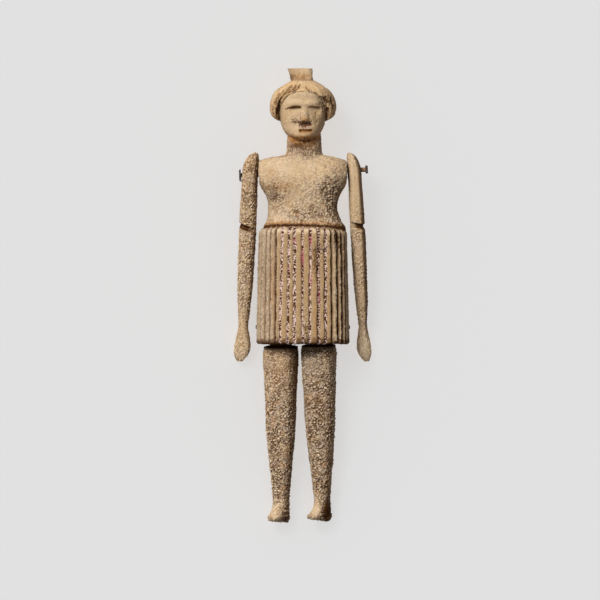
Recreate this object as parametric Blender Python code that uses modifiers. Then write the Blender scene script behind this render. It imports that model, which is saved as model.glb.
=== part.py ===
"""A jointed bone figurine of a woman in a pleated skirt, lying on its back.

Seven solids: the torso with its head and skirt, carved from one shank bone; two arms that hang on a pin
through the shoulders; and two legs whose tongues hang on a pin inside the hollow skirt.

X runs across the figure, Y runs up it towards the head, and Z rises from the table through the chest.
Heights up the figure are measured from the hem of the skirt, and all sizes are in metres.
"""

import math

import bmesh
import bpy
import numpy as np
from mathutils import Euler, Vector

# The skirt, where the bone keeps nearly its full thickness
SKIRT_LENGTH = 0.0345
HEM_WIDTH = 0.0279
SKIRT_TOP_WIDTH = 0.0264
SKIRT_DEPTH = 0.0196
SKIRT_SQUARENESS = 2.7
HEM_ROUNDING = 0.0008
SKIRT_TOP_ROUNDING = 0.0018
REST_FLAT = 0.0002  # how deep the back of the skirt is worn flat, where the figure lies on it
PLEATS = 36
PLEAT_GROOVE_WIDTH = 0.0008
PLEAT_GROOVE_DEPTH = 0.0005
PLEAT_WANDER = 0.09  # how far a hand-cut groove strays, as a share of the pleats' pitch

# The hollow under the skirt and the pin that crosses it
SKIRT_WALL = 0.0027
HOLLOW_DEPTH = 0.0125
HOLLOW_ROUNDING = 0.0012
HIP_PIN_HEIGHT = 0.0050
HIP_PIN_SETBACK = 0.0012  # how far the pin lies behind the middle of the skirt's depth
HIP_PIN_DIAMETER = 0.0012
HIP_PIN_PROUD = 0.0003
PIN_CLEARANCE = 0.0003

# The chest, from the groove at the belt to the root of the neck
CHEST_HEIGHT = 0.0222
SHOULDER_WIDTH = 0.0274
CHEST_DEPTH = 0.0136
CHEST_SQUARENESS = 2.9
SHOULDER_TURN_DEG = 7.0  # the sides are shaved flat for the arms and face a little forward
BELT_GROOVE_DEPTH = 0.0007

# The neck, head and hair
NECK_LENGTH = 0.0047
NECK_WIDTH = 0.0105
NECK_OFFSET = 0.0004
FACE_HEIGHT = 0.0135  # from the chin to the hairline
FACE_WIDTH = 0.0141
FACE_FRONT = 0.0073  # from the axis to the cheeks
FACE_OFFSET = 0.0005  # how far the nose and mouth lie to the figure's left
HEAD_HEIGHT = 0.0176  # from the chin to the crown
HAIR_WIDTH = 0.0201
HAIR_FRONT = 0.0086
HAIR_LOCKS = 18
HAIR_LOCK_DEPTH = 0.0004
HAIR_SWEEP = 0.6  # how closely the locks gather at the parting
FACE_OPENING = 0.97  # the arch left open by the hair, as a share of the face's width
TOPKNOT_WIDTH = 0.0068
TOPKNOT_FLARE = 0.0006
TOPKNOT_DEPTH = 0.0052
TOPKNOT_HEIGHT = 0.0036
TOPKNOT_OFFSET = -0.0004

# The pin through the shoulders
SHOULDER_PIN_HEIGHT = 0.0169  # above the belt, midway between the arms
SHOULDER_PIN_SLOPE_DEG = 2.7
SHOULDER_PIN_DIAMETER = 0.0014
DISC_DIAMETER = 0.0036
DISC_THICKNESS = 0.0005
KNOB_DIAMETER = 0.0025
KNOB_THICKNESS = 0.0007
KNOB_NECK = 0.0011  # how far the knob stands off its arm
HEAD_GAP = 0.0002  # between the other end's disc and its arm

# The arms, each one piece with a groove cut across the elbow
ARM_LENGTH = 0.0633
ARM_DEPTH = 0.0070
RIGHT_ARM_WIDTH = 0.0049
LEFT_ARM_WIDTH = 0.0042
ARM_GAP = 0.0003
RIGHT_ARM_TOP = 0.0068  # from the pin up to the end of the arm
LEFT_ARM_TOP = 0.0053
RIGHT_ARM_LEAN_DEG = 3.5
LEFT_ARM_LEAN_DEG = 4.1
ELBOW_SHARE = 0.347  # of the arm's length, from its top
ELBOW_GROOVE_WIDTH = 0.0012
ELBOW_GROOVE_DEPTH = 0.0007

# The legs, each one piece with its tongue and foot
LEG_LENGTH = 0.0529
LEG_WIDTH = 0.0099
LEG_DEPTH = 0.0100
RIGHT_LEG_DROP = 0.0062  # from the hip pin down to the top of the thigh
LEFT_LEG_DROP = 0.0056
RIGHT_LEG_X = -0.0066
LEFT_LEG_X = 0.0046
LEG_TURN_DEG = -14.0
RIGHT_TOE_TURN_DEG = -32.0
LEFT_TOE_TURN_DEG = -46.0
LEFT_LEG_LEAN_DEG = 1.3
FOOT_LENGTH = 0.0086
TONGUE_WIDTH = 0.0066
TONGUE_THICKNESS = 0.0050
TONGUE_TOP = 0.0030  # from the hip pin up to the end of the tongue

BONE = (0.56, 0.40, 0.24)
BRONZE = (0.13, 0.09, 0.055)

AXIS_HEIGHT = SKIRT_DEPTH / 2 - REST_FLAT
HIP_PIN_Z = AXIS_HEIGHT - HIP_PIN_SETBACK
CHIN_HEIGHT = SKIRT_LENGTH + CHEST_HEIGHT + NECK_LENGTH
FRONT = math.pi / 2  # the angle of a section's point that faces up from the table

# Share of the chest's height, then the half width and the half depth as shares of the shoulders' and chest's
CHEST_STATIONS = (
    (-0.12, 0.80, 0.98),
    (-0.02, 0.88, 1.14),
    (0.03, 0.92, 1.14),
    (0.10, 0.82, 1.03),
    (0.22, 0.762, 0.94),
    (0.35, 0.757, 0.92),
    (0.45, 0.805, 0.95),
    (0.55, 0.90, 1.00),
    (0.65, 0.99, 1.00),
    (0.78, 1.05, 0.93),
    (0.87, 1.02, 0.88),
    (0.93, 0.92, 0.84),
    (0.97, 0.68, 0.81),
)

# Share of the head's height above the chin, then the face's half width, its front and the skull's back, as
# shares of the face's half width, the face's front and the head's back
FACE_STATIONS = (
    (-0.02, 0.30, 0.80, 0.20),
    (0.05, 0.60, 0.97, 0.40),
    (0.12, 0.76, 1.01, 0.52),
    (0.22, 0.89, 1.01, 0.64),
    (0.35, 0.97, 1.00, 0.74),
    (0.50, 1.00, 1.01, 0.80),
    (0.65, 0.99, 1.00, 0.80),
    (0.80, 0.94, 0.93, 0.75),
    (1.00, 0.50, 0.50, 0.40),
)

# Share of the head's height, then the hair's half width, front and back, as shares of its largest
HAIR_STATIONS = (
    (0.30, 0.66, 0.70, 0.62),
    (0.335, 0.80, 0.80, 0.76),
    (0.39, 0.92, 0.86, 0.90),
    (0.48, 0.98, 0.93, 0.98),
    (0.56, 1.00, 0.97, 1.00),
    (0.66, 0.97, 1.00, 0.99),
    (0.76, 0.90, 1.00, 0.93),
    (0.85, 0.77, 0.90, 0.80),
    (0.92, 0.59, 0.70, 0.62),
    (1.00, 0.36, 0.42, 0.40),
)

# Share of the arm's length, then its middle, its half width and its half depth, as shares of the largest
ARM_STATIONS = (
    (0.000, 0.62, 0.22, 0.24),
    (0.010, 0.42, 0.50, 0.52),
    (0.030, 0.26, 0.74, 0.76),
    (0.055, 0.12, 0.87, 0.92),
    (0.093, 0.03, 0.93, 1.00),
    (0.160, 0.00, 0.93, 1.00),
    (0.260, 0.00, 1.00, 0.98),
    (0.450, 0.00, 1.00, 0.96),
    (0.550, 0.00, 0.97, 0.93),
    (0.620, 0.00, 0.92, 0.88),
    (0.700, 0.00, 0.83, 0.80),
    (0.770, 0.00, 0.70, 0.70),
    (0.840, 0.00, 0.57, 0.60),
    (0.890, 0.02, 0.84, 0.62),
    (0.935, 0.00, 1.00, 0.62),
    (0.970, -0.12, 0.84, 0.52),
    (1.000, -0.28, 0.36, 0.26),
)

# Share of the leg's length, then its half width and half depth, and how far it lies forward, as shares of the
# thigh's half width and half depth and of the foot's length
LEG_STATIONS = (
    (0.000, 0.92, 0.90, 0.00),
    (0.020, 1.00, 0.98, 0.00),
    (0.150, 0.99, 1.00, 0.00),
    (0.300, 0.92, 0.93, 0.00),
    (0.450, 0.87, 0.86, 0.00),
    (0.600, 0.74, 0.76, -0.01),
    (0.720, 0.62, 0.68, -0.02),
    (0.820, 0.52, 0.58, -0.03),
    (0.880, 0.47, 0.54, -0.02),
    (0.920, 0.49, 0.60, 0.02),
    (0.950, 0.50, 0.71, 0.09),
    (0.985, 0.50, 0.83, 0.17),
    (1.000, 0.42, 0.76, 0.17),
)


def clear_scene():
    for old in list(bpy.data.objects):
        bpy.data.objects.remove(old)


def new_collection(name):
    found = bpy.data.collections.new(name)
    bpy.context.scene.collection.children.link(found)
    return found


def new_material(name, colour, roughness, metallic):
    made = bpy.data.materials.new(name)
    made.use_nodes = True
    shader = made.node_tree.nodes["Principled BSDF"]
    shader.inputs["Base Color"].default_value = (*colour, 1.0)
    shader.inputs["Roughness"].default_value = roughness
    shader.inputs["Metallic"].default_value = metallic
    return made


def through(stations, shares):
    """Rows of values at these shares, on smooth curves through stations that each start with a share."""
    known = np.array(stations, float)
    at, values = known[:, 0], known[:, 1:]
    slopes = np.gradient(values, at, axis=0)
    shares = np.clip(shares, at[0], at[-1])
    left = np.clip(np.searchsorted(at, shares, side="right") - 1, 0, len(at) - 2)
    span = (at[left + 1] - at[left])[:, None]
    t = (shares - at[left])[:, None] / span
    return (
        values[left] * (2 * t**3 - 3 * t**2 + 1)
        + slopes[left] * span * (t**3 - 2 * t**2 + t)
        + values[left + 1] * (3 * t**2 - 2 * t**3)
        + slopes[left + 1] * span * (t**3 - t**2)
    )


def section(angles, half_width, front, back, squareness):
    """X and Z of the points at these angles on a rounded section. 0 is +X and a quarter turn is the front."""
    across, along = np.cos(angles), np.sin(angles)
    depth = np.where(along > 0, front, back)
    total = np.abs(across / half_width) ** squareness + np.abs(along / depth) ** squareness
    reach = total ** (-1 / squareness)
    return reach * across, reach * along


def even_angles(columns):
    return FRONT + np.arange(columns) * 2 * math.pi / columns


def ring(x, height, z):
    """One row of a loft, as an array of points. Each of the three is a number or an array."""
    return np.stack(np.broadcast_arrays(x, height, z), axis=-1).astype(float)


def loft(name, rings, material, collection):
    """A closed solid through rings of equally many points. The first and the last become its ends."""
    work = bmesh.new()
    rows = [[work.verts.new(point) for point in points] for points in rings]
    for lower, upper in zip(rows, rows[1:]):
        for i, corner in enumerate(lower):
            beside = (i + 1) % len(lower)
            work.faces.new((corner, lower[beside], upper[beside], upper[i]))
    work.faces.new(rows[0])
    work.faces.new(rows[-1])
    bmesh.ops.recalc_face_normals(work, faces=work.faces)
    data = bpy.data.meshes.new(name)
    work.to_mesh(data)
    work.free()
    data.materials.append(material)
    data.shade_smooth()
    data.set_sharp_from_angle(angle=math.radians(35))
    made = bpy.data.objects.new(name, data)
    collection.objects.link(made)
    return made


def combine(target, tool, operation):
    """Joins the tool to the target, or cuts it away, and keeps the tool out of the render."""
    modifier = target.modifiers.new(tool.name, "BOOLEAN")
    modifier.object = tool
    modifier.operation = operation
    modifier.solver = "EXACT"
    tool.hide_render = True
    tool.display_type = "WIRE"


def rounded_edge(radius, steps):
    """Pairs of how far in and how far along, round a quarter circle that starts on the end face."""
    turns = [step * math.pi / 2 / steps for step in range(steps + 1)]
    return [(radius * (1 - math.sin(turn)), radius * (1 - math.cos(turn))) for turn in turns]


def skirt_half_width(height):
    return (HEM_WIDTH + (SKIRT_TOP_WIDTH - HEM_WIDTH) * height / SKIRT_LENGTH) / 2


def pleat_angles():
    """The angles of each groove's two edges and its bottom, by equal steps round the hem."""
    fine = FRONT + np.linspace(0, 2 * math.pi, 1441)
    x, z = section(fine, HEM_WIDTH / 2, SKIRT_DEPTH / 2, SKIRT_DEPTH / 2, SKIRT_SQUARENESS)
    travelled = np.concatenate([[0], np.cumsum(np.hypot(np.diff(x), np.diff(z)))])
    pitch = travelled[-1] / PLEATS
    middles = [(k + PLEAT_WANDER * math.sin(5.1 * k)) * pitch for k in range(PLEATS)]
    half = PLEAT_GROOVE_WIDTH / 2
    places = [middle + side for middle in middles for side in (-half, 0, half)]
    return np.interp(np.mod(places, travelled[-1]), travelled, fine)


def skirt(material, collection):
    """The skirt as a solid drum with a groove between each two pleats."""
    angles = pleat_angles()
    groove = np.tile([0, PLEAT_GROOVE_DEPTH, 0], PLEATS)
    edge = rounded_edge(HEM_ROUNDING, 2)
    shoulder = rounded_edge(SKIRT_TOP_ROUNDING, 3)[::-1]
    rows = [(inset, along) for inset, along in edge]
    rows += [(0, SKIRT_LENGTH / 2)]
    rows += [(inset, SKIRT_LENGTH - along) for inset, along in shoulder]
    rings = []
    for inset, height in rows:
        taken = inset + groove
        depth = SKIRT_DEPTH / 2 - taken
        x, z = section(angles, skirt_half_width(height) - taken, depth, depth, SKIRT_SQUARENESS)
        rings.append(ring(x, height, AXIS_HEIGHT + np.maximum(z, -AXIS_HEIGHT)))
    return loft("torso_with_head_and_skirt", rings, material, collection)


def hollow(material, collection):
    """What is cut out of the skirt from below, so that its wall is even."""
    angles = even_angles(40)
    inner_depth = SKIRT_DEPTH / 2 - SKIRT_WALL
    rings = []
    for height in (-HOLLOW_DEPTH / 4, 0, HOLLOW_DEPTH - HOLLOW_ROUNDING, HOLLOW_DEPTH):
        narrowed = HOLLOW_ROUNDING if height == HOLLOW_DEPTH else 0
        inner_width = skirt_half_width(max(height, 0)) - SKIRT_WALL - narrowed
        x, z = section(angles, inner_width, inner_depth - narrowed, inner_depth - narrowed, SKIRT_SQUARENESS)
        rings.append(ring(x, height, AXIS_HEIGHT + z))
    return loft("hollow_of_skirt", rings, material, collection)


def shoulder_plane(z):
    """How far from the middle the shaved side of the shoulders lies, at a height above the table."""
    from_front = AXIS_HEIGHT + CHEST_DEPTH / 2 - z
    return SHOULDER_WIDTH / 2 - from_front * math.tan(math.radians(SHOULDER_TURN_DEG))


def chest(material, collection):
    """The trunk from inside the skirt up to the inside of the head."""
    angles = even_angles(40)
    shares = [-0.12, -0.02, 0.0, 0.03, 0.10, 0.22, 0.35, 0.45, 0.55, 0.61, 0.68, 0.80, 0.87, 0.93, 0.97]
    rows = through(CHEST_STATIONS, shares)
    rings = []
    for share, (width, depth) in zip(shares, rows):
        height = SKIRT_LENGTH + share * CHEST_HEIGHT
        cut = BELT_GROOVE_DEPTH if share <= 0 else 0
        half_depth = CHEST_DEPTH / 2 * depth - cut
        x, z = section(angles, SHOULDER_WIDTH / 2 * width - cut, half_depth, half_depth, CHEST_SQUARENESS)
        z = AXIS_HEIGHT + z
        side = shoulder_plane(z)
        rings.append(ring(np.clip(x, -side, side), height, z))
    neck = NECK_WIDTH / 2
    for share, wider in ((0.0, 1.08), (0.2, 1.0), (1.0, 0.97), (1.9, 0.9)):
        x, z = section(angles, neck * wider, neck * wider * 0.95, neck * wider * 0.95, 2.1)
        height = SKIRT_LENGTH + CHEST_HEIGHT + share * NECK_LENGTH
        rings.append(ring(x + NECK_OFFSET, height, AXIS_HEIGHT + z))
    return loft("chest_and_neck", rings, material, collection)


def bell(distance, width):
    return np.exp(-((distance / width) ** 2))


def face_relief(x, up):
    """How far the face stands out or sinks in, up from the chin. Its parts lie on thirds of its height."""
    third = FACE_HEIGHT / 3
    x = np.abs(x - FACE_OFFSET)
    down_nose = np.clip((2.02 * third - up) / third, 0, 1)
    nose_end = np.clip((up - third * 0.97) / (third * 0.1), 0, 1)
    nose_width = third * (0.16 + 0.2 * down_nose)
    nose = 0.42 * third * down_nose**0.75 * nose_end * np.clip(1.5 * (1 - x / nose_width), 0, 1)
    brow_line = 2.0 * third - 0.10 * x
    under_brow = np.clip((brow_line - up) / (third * 0.1), 0, 1)
    socket_fade = np.clip((up - third * 1.2) / (third * 0.8), 0, 1)
    beside_nose = np.clip((x - 0.14 * third) / (0.12 * third), 0, 1)
    socket = -0.2 * third * under_brow * socket_fade * beside_nose * (0.8 + 0.3 * x / third)
    lips = 0.1 * third * bell(up - 0.44 * third, 0.26 * third) * bell(x, 0.5 * third)
    in_mouth = np.clip(1.6 - np.abs(up - 0.44 * third) / (0.09 * third), 0, 1)
    mouth = -0.13 * third * in_mouth * np.clip((0.46 * third - x) / (0.08 * third), 0, 1)
    chin = 0.1 * third * bell(up - 0.1 * third, 0.25 * third) * bell(x, 0.6 * third)
    return nose + socket + lips + mouth + chin


def face(material, collection):
    """The bare head, from under the chin up to inside the hair."""
    even = np.arange(50) * 2 * math.pi / 50
    angles = FRONT + even - 0.42 * np.sin(even)
    third = FACE_HEIGHT / HEAD_HEIGHT / 3
    below_brow = [0.12, 0.30, 0.36, 0.52, 0.58, 0.80, 0.94, 1.0, 1.25, 1.5, 1.72, 1.87, 1.92]
    above_brow = [2.06, 2.3, 2.6, 2.95, 3.2]
    shares = np.array([-0.02, 0.005] + [part * third for part in below_brow + above_brow])
    rings = []
    for share, (wide, front, back) in zip(shares, through(FACE_STATIONS, shares)):
        up = share * HEAD_HEIGHT
        x, z = section(angles, wide * FACE_WIDTH / 2, front * FACE_FRONT, back * AXIS_HEIGHT, 2.3)
        z = z + np.where(z > 0, face_relief(x, up), 0)
        rings.append(ring(x, CHIN_HEIGHT + up, AXIS_HEIGHT + z))
    return loft("face_and_jaw", rings, material, collection)


def face_opening(material, collection):
    """An arch that clears the hair from in front of the face."""
    half_width = FACE_WIDTH / 2 * FACE_OPENING
    spring = FACE_HEIGHT * 0.56
    rise = FACE_HEIGHT - spring
    turns = [step * math.pi / 20 for step in range(21)]
    power = 2 / 2.3
    arch = [
        (
            half_width * math.copysign(abs(math.cos(turn)) ** power, math.cos(turn)),
            spring + rise * math.sin(turn) ** power,
        )
        for turn in turns
    ]
    outline = [(half_width, 0)] + arch + [(-half_width, 0)]
    places = np.array(outline)
    rings = []
    for reach in (0.1, 2.0):
        rings.append(ring(places[:, 0], CHIN_HEIGHT + places[:, 1], AXIS_HEIGHT + FACE_FRONT * reach))
    return loft("arch_of_face", rings, material, collection)


def hair(material, collection):
    """The hair, drawn from a parting over the brow and round to the back in shallow locks."""
    even = np.arange(HAIR_LOCKS * 3) * 2 * math.pi / (HAIR_LOCKS * 3)
    groove = np.tile([HAIR_LOCK_DEPTH, 0, 0], HAIR_LOCKS)
    shares = [0.30, 0.335, 0.39, 0.47, 0.55, 0.63, 0.71, 0.79, 0.86, 0.92, 0.96, 1.0]
    rings = []
    for share, (wide, front, back) in zip(shares, through(HAIR_STATIONS, shares)):
        gathered = HAIR_SWEEP * (share - shares[0]) / (1 - shares[0])
        angles = FRONT + even - gathered * np.sin(even)
        reach = [half - groove for half in (wide * HAIR_WIDTH / 2, front * HAIR_FRONT, back * AXIS_HEIGHT)]
        x, z = section(angles, *reach, 2.1)
        rings.append(ring(x, CHIN_HEIGHT + share * HEAD_HEIGHT, AXIS_HEIGHT + z))
    made = loft("hair", rings, material, collection)
    combine(made, face_opening(material, collection), "DIFFERENCE")
    return made


def topknot(material, collection):
    """The square knot on the crown, cut flat on top."""
    angles = even_angles(24)
    crown = CHIN_HEIGHT + HEAD_HEIGHT
    third = TOPKNOT_HEIGHT / 3
    rings = []
    for height, flare in ((crown - third, 0.0), (crown + third, 0.0), (crown + TOPKNOT_HEIGHT, 1.0)):
        half_width = TOPKNOT_WIDTH / 2 + flare * TOPKNOT_FLARE / 2
        half_depth = TOPKNOT_DEPTH / 2 + flare * TOPKNOT_FLARE / 2
        x, z = section(angles, half_width, half_depth, half_depth, 5)
        rings.append(ring(x + TOPKNOT_OFFSET, height, AXIS_HEIGHT + z))
    return loft("topknot", rings, material, collection)


def arm_rings(width, side):
    """An arm hung from its top at Y 0. Its flat inner side faces the body, which is towards -side on X."""
    half_width, half_depth = width / 2, ARM_DEPTH / 2
    groove = ELBOW_GROOVE_WIDTH / ARM_LENGTH
    above = [0, 0.01, 0.03, 0.055, 0.093, 0.16, 0.26]
    elbow = [ELBOW_SHARE - groove * 0.35, ELBOW_SHARE, ELBOW_SHARE + groove * 0.65]
    below = [0.45, 0.55, 0.62, 0.70, 0.77, 0.84, 0.89, 0.935, 0.97, 1.0]
    shares = above + elbow + below
    angles = even_angles(18)
    inward = -side * np.cos(angles)
    squareness = np.where(inward > 0, 3.6, 2.3)
    outer = np.clip(0.75 - inward, 0, 1)
    rings = []
    for share, (middle, wide, deep) in zip(shares, through(ARM_STATIONS, shares)):
        cut = ELBOW_GROOVE_DEPTH * outer if share == ELBOW_SHARE else 0
        depth = half_depth * deep - cut
        x, z = section(angles, half_width * wide - cut, depth, depth, squareness)
        rings.append(ring(x - side * middle * half_width, -share * ARM_LENGTH, z))
    return rings


def turned(points, angle):
    """The points turned round Y by an angle in degrees."""
    return points @ np.array(Euler((0, math.radians(angle), 0)).to_matrix()).T


def leg_rings(drop, toe_turn):
    """A leg that hangs from the hip pin at Y 0: the tongue, the thigh's flat top, the shaft and the foot."""
    angles = even_angles(18)
    rounding = TONGUE_THICKNESS / 2
    rings = []
    for share in (0.4, 0.8, 1.0):
        x, z = section(angles, TONGUE_WIDTH / 2, rounding * share, rounding * share, 4)
        rings.append(ring(x, TONGUE_TOP - rounding * (1 - math.sqrt(1 - share**2)), z))
    x, z = section(angles, TONGUE_WIDTH / 2, rounding, rounding, 4)
    rings.append(ring(x, -drop, z))
    shares = [0, 0.02, 0.15, 0.3, 0.45, 0.6, 0.72, 0.82, 0.88, 0.92, 0.95, 0.985, 1.0]
    for share, (wide, deep, forward) in zip(shares, through(LEG_STATIONS, shares)):
        turn = LEG_TURN_DEG + (toe_turn - LEG_TURN_DEG) * max(0, (share - 0.88) / 0.12)
        x, z = section(angles, LEG_WIDTH / 2 * wide, LEG_DEPTH / 2 * deep, LEG_DEPTH / 2 * deep, 2.8)
        z = z + forward * FOOT_LENGTH
        lift = 0.22 * max(0, (share - 0.9) / 0.1)
        points = ring(x, -drop - share * LEG_LENGTH + np.maximum(z, 0) * lift, z)
        rings.append(turned(points, turn))
    return rings


def resting_drop(points, turn, lean, pivot_z):
    """How far a limb swings down about its pin, in radians, until its lowest point is on the table."""
    low, high = 0.0, math.radians(40)
    for _ in range(40):
        middle = (low + high) / 2
        swung = points @ np.array(Euler((middle, turn, lean)).to_matrix()).T
        if swung[:, 2].min() + pivot_z > 0:
            low = middle
        else:
            high = middle
    return low


def shoulder_pin_at(x):
    """The height up the figure of the shoulder pin's axis, at X."""
    return SKIRT_LENGTH + SHOULDER_PIN_HEIGHT + x * math.tan(math.radians(SHOULDER_PIN_SLOPE_DEG))


def arm(name, side, width, top, lean, material, collection):
    """An arm on the shoulder pin, slid out until it clears the shoulder, and the place of its outer face."""
    rings = arm_rings(width, side)
    for points in rings:
        points[:, 1] += top
    turn, lean = side * math.radians(SHOULDER_TURN_DEG), side * math.radians(lean)
    points = np.concatenate(rings)
    drop = resting_drop(points, turn, lean, AXIS_HEIGHT)
    placed = points @ np.array(Euler((drop, turn, lean)).to_matrix()).T
    overlap = shoulder_plane(placed[:, 2] + AXIS_HEIGHT) - side * placed[:, 0]
    x = side * (overlap.max() + ARM_GAP)
    outer = x + side * (side * placed[np.abs(placed[:, 1]) < ARM_DEPTH / 2, 0]).max()
    made = loft(name, rings, material, collection)
    made.location = (x, shoulder_pin_at(x), AXIS_HEIGHT)
    made.rotation_euler = (drop, turn, lean)
    return made, outer


def leg(name, x, drop, toe_turn, lean, material, collection):
    """A leg on the hip pin, swung down until it rests on the table. Its angles are in degrees."""
    lean = math.radians(lean)
    rings = leg_rings(drop, toe_turn)
    swing = resting_drop(np.concatenate(rings), 0, lean, HIP_PIN_Z)
    made = loft(name, rings, material, collection)
    made.location = (x, HIP_PIN_HEIGHT, HIP_PIN_Z)
    made.rotation_euler = (swing, 0, lean)
    return made


def turned_pin(name, profile, centre, slope, material, collection):
    """A pin turned round its own axis, which lies along X, from pairs of a place along it and a radius."""
    data = bpy.data.meshes.new(name)
    work = bmesh.new()
    points = [work.verts.new((radius, 0, along)) for along, radius in profile]
    for first, second in zip(points, points[1:]):
        work.edges.new((first, second))
    work.to_mesh(data)
    work.free()
    data.materials.append(material)
    made = bpy.data.objects.new(name, data)
    collection.objects.link(made)
    screw = made.modifiers.new("Turn", "SCREW")
    screw.steps = screw.render_steps = 14
    screw.use_merge_vertices = True
    screw.merge_threshold = 0.00001
    screw.use_smooth_shade = True
    made.location = centre
    made.rotation_euler = (0, math.radians(90), slope)
    return made


def plain_profile(start, end, radius):
    """A rod's profile, from its far end to its near end."""
    return [(end, 0), (end, radius), (start, radius), (start, 0)]


def shoulder_pin_profile(disc_face, knob_face):
    """A rod with a disc at its -X end and a knob at its +X end, each placed by the arm's face beside it."""
    shank = SHOULDER_PIN_DIAMETER / 2
    knob_start = knob_face + KNOB_NECK
    disc_end = disc_face - HEAD_GAP
    return [
        (knob_start + KNOB_THICKNESS, 0),
        (knob_start + KNOB_THICKNESS, KNOB_DIAMETER * 0.42),
        (knob_start + KNOB_THICKNESS * 0.6, KNOB_DIAMETER / 2),
        (knob_start, KNOB_DIAMETER / 2),
        (knob_start, shank),
        (disc_end, shank),
        (disc_end, DISC_DIAMETER / 2),
        (disc_end - DISC_THICKNESS * 0.6, DISC_DIAMETER / 2),
        (disc_end - DISC_THICKNESS, DISC_DIAMETER * 0.4),
        (disc_end - DISC_THICKNESS, 0),
    ]


def drill(targets, name, radius, centre, slope, length, material, helpers):
    """Cuts one straight hole through all the targets."""
    bit = turned_pin(name, plain_profile(-length / 2, length / 2, radius), centre, slope, material, helpers)
    for target in targets:
        combine(target, bit, "DIFFERENCE")


def seat_on_table(figure, objects):
    """Moves the figure so that its box's middle is over the origin and its lowest point is on the table."""
    bpy.context.view_layer.update()
    graph = bpy.context.evaluated_depsgraph_get()
    points = []
    for made in objects:
        evaluated = made.evaluated_get(graph)
        points += [evaluated.matrix_world @ vertex.co for vertex in evaluated.data.vertices]
    low = Vector([min(point[axis] for point in points) for axis in range(3)])
    high = Vector([max(point[axis] for point in points) for axis in range(3)])
    middle = (low + high) / 2
    figure.location = (-middle.x, -middle.y, -low.z)


def build():
    clear_scene()
    parts = new_collection("bone_figurine")
    helpers = new_collection("cutters_and_joined_shapes")
    bone = new_material("bone", BONE, 0.62, 0.0)
    bronze = new_material("bronze", BRONZE, 0.7, 0.6)

    torso = skirt(bone, parts)
    for shape in (chest, face, hair, topknot):
        combine(torso, shape(bone, helpers), "UNION")
    combine(torso, hollow(bone, helpers), "DIFFERENCE")

    right_arm, disc_face = arm(
        "right_arm", -1, RIGHT_ARM_WIDTH, RIGHT_ARM_TOP, RIGHT_ARM_LEAN_DEG, bone, parts
    )
    left_arm, knob_face = arm("left_arm", 1, LEFT_ARM_WIDTH, LEFT_ARM_TOP, LEFT_ARM_LEAN_DEG, bone, parts)
    centre = (0, shoulder_pin_at(0), AXIS_HEIGHT)
    slope = math.radians(SHOULDER_PIN_SLOPE_DEG)
    bore = SHOULDER_PIN_DIAMETER / 2 + PIN_CLEARANCE
    length = SHOULDER_WIDTH * 2
    drill((torso, right_arm, left_arm), "shoulder_bore", bore, centre, slope, length, bone, helpers)
    profile = shoulder_pin_profile(disc_face, knob_face)
    shoulder_pin = turned_pin("shoulder_pin", profile, centre, slope, bronze, parts)

    right_leg = leg("right_leg", RIGHT_LEG_X, RIGHT_LEG_DROP, RIGHT_TOE_TURN_DEG, 0, bone, parts)
    left_leg = leg("left_leg", LEFT_LEG_X, LEFT_LEG_DROP, LEFT_TOE_TURN_DEG, LEFT_LEG_LEAN_DEG, bone, parts)
    centre = (0, HIP_PIN_HEIGHT, HIP_PIN_Z)
    bore = HIP_PIN_DIAMETER / 2 + PIN_CLEARANCE
    drill((torso, right_leg, left_leg), "hip_bore", bore, centre, 0, HEM_WIDTH * 1.5, bone, helpers)
    hip_end = skirt_half_width(HIP_PIN_HEIGHT) + HIP_PIN_PROUD
    profile = plain_profile(-hip_end, hip_end, HIP_PIN_DIAMETER / 2)
    hip_pin = turned_pin("hip_pin", profile, centre, 0, bronze, parts)

    figure = bpy.data.objects.new("figure", None)
    parts.objects.link(figure)
    made = (torso, right_arm, left_arm, shoulder_pin, right_leg, left_leg, hip_pin)
    for child in (*made, *helpers.objects):
        child.parent = figure
    seat_on_table(figure, made)


build()
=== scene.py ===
"""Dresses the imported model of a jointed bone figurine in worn, pitted bone and corroded bronze.

The file is laid out as an add-on. Lengths are in metres unless a table says millimetres. X runs across the
figure, Y runs up it and Z rises from the table through its chest. Heights up the figure start at its hem.
"""

import itertools
import math

import bpy
import numpy as np
from bpy.props import FloatProperty, FloatVectorProperty, PointerProperty
from mathutils import Euler, Matrix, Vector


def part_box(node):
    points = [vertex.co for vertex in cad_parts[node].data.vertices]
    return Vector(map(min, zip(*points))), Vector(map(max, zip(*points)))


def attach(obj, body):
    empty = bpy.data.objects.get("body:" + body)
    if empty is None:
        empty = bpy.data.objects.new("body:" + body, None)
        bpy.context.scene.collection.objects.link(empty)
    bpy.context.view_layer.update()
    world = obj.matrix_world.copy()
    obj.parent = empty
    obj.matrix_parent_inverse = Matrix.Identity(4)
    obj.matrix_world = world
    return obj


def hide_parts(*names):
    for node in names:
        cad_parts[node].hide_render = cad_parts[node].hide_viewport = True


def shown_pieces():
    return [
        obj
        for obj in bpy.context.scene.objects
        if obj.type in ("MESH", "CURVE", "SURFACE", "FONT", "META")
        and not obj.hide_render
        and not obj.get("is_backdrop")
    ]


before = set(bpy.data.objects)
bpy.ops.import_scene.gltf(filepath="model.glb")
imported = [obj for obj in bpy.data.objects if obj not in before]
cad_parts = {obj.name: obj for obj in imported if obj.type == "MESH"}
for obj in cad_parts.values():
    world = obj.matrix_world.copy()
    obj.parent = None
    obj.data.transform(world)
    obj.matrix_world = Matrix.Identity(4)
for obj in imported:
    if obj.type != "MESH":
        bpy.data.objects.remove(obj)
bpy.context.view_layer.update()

bl_info = {
    "name": "Jointed Bone Figurine",
    "version": (1, 0, 0),
    "blender": (4, 5, 0),
    "location": "3D View > Sidebar > Figurine",
    "description": "Carves, wears and lights an old jointed figurine of bone with bronze pins",
    "category": "Add Mesh",
}

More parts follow.
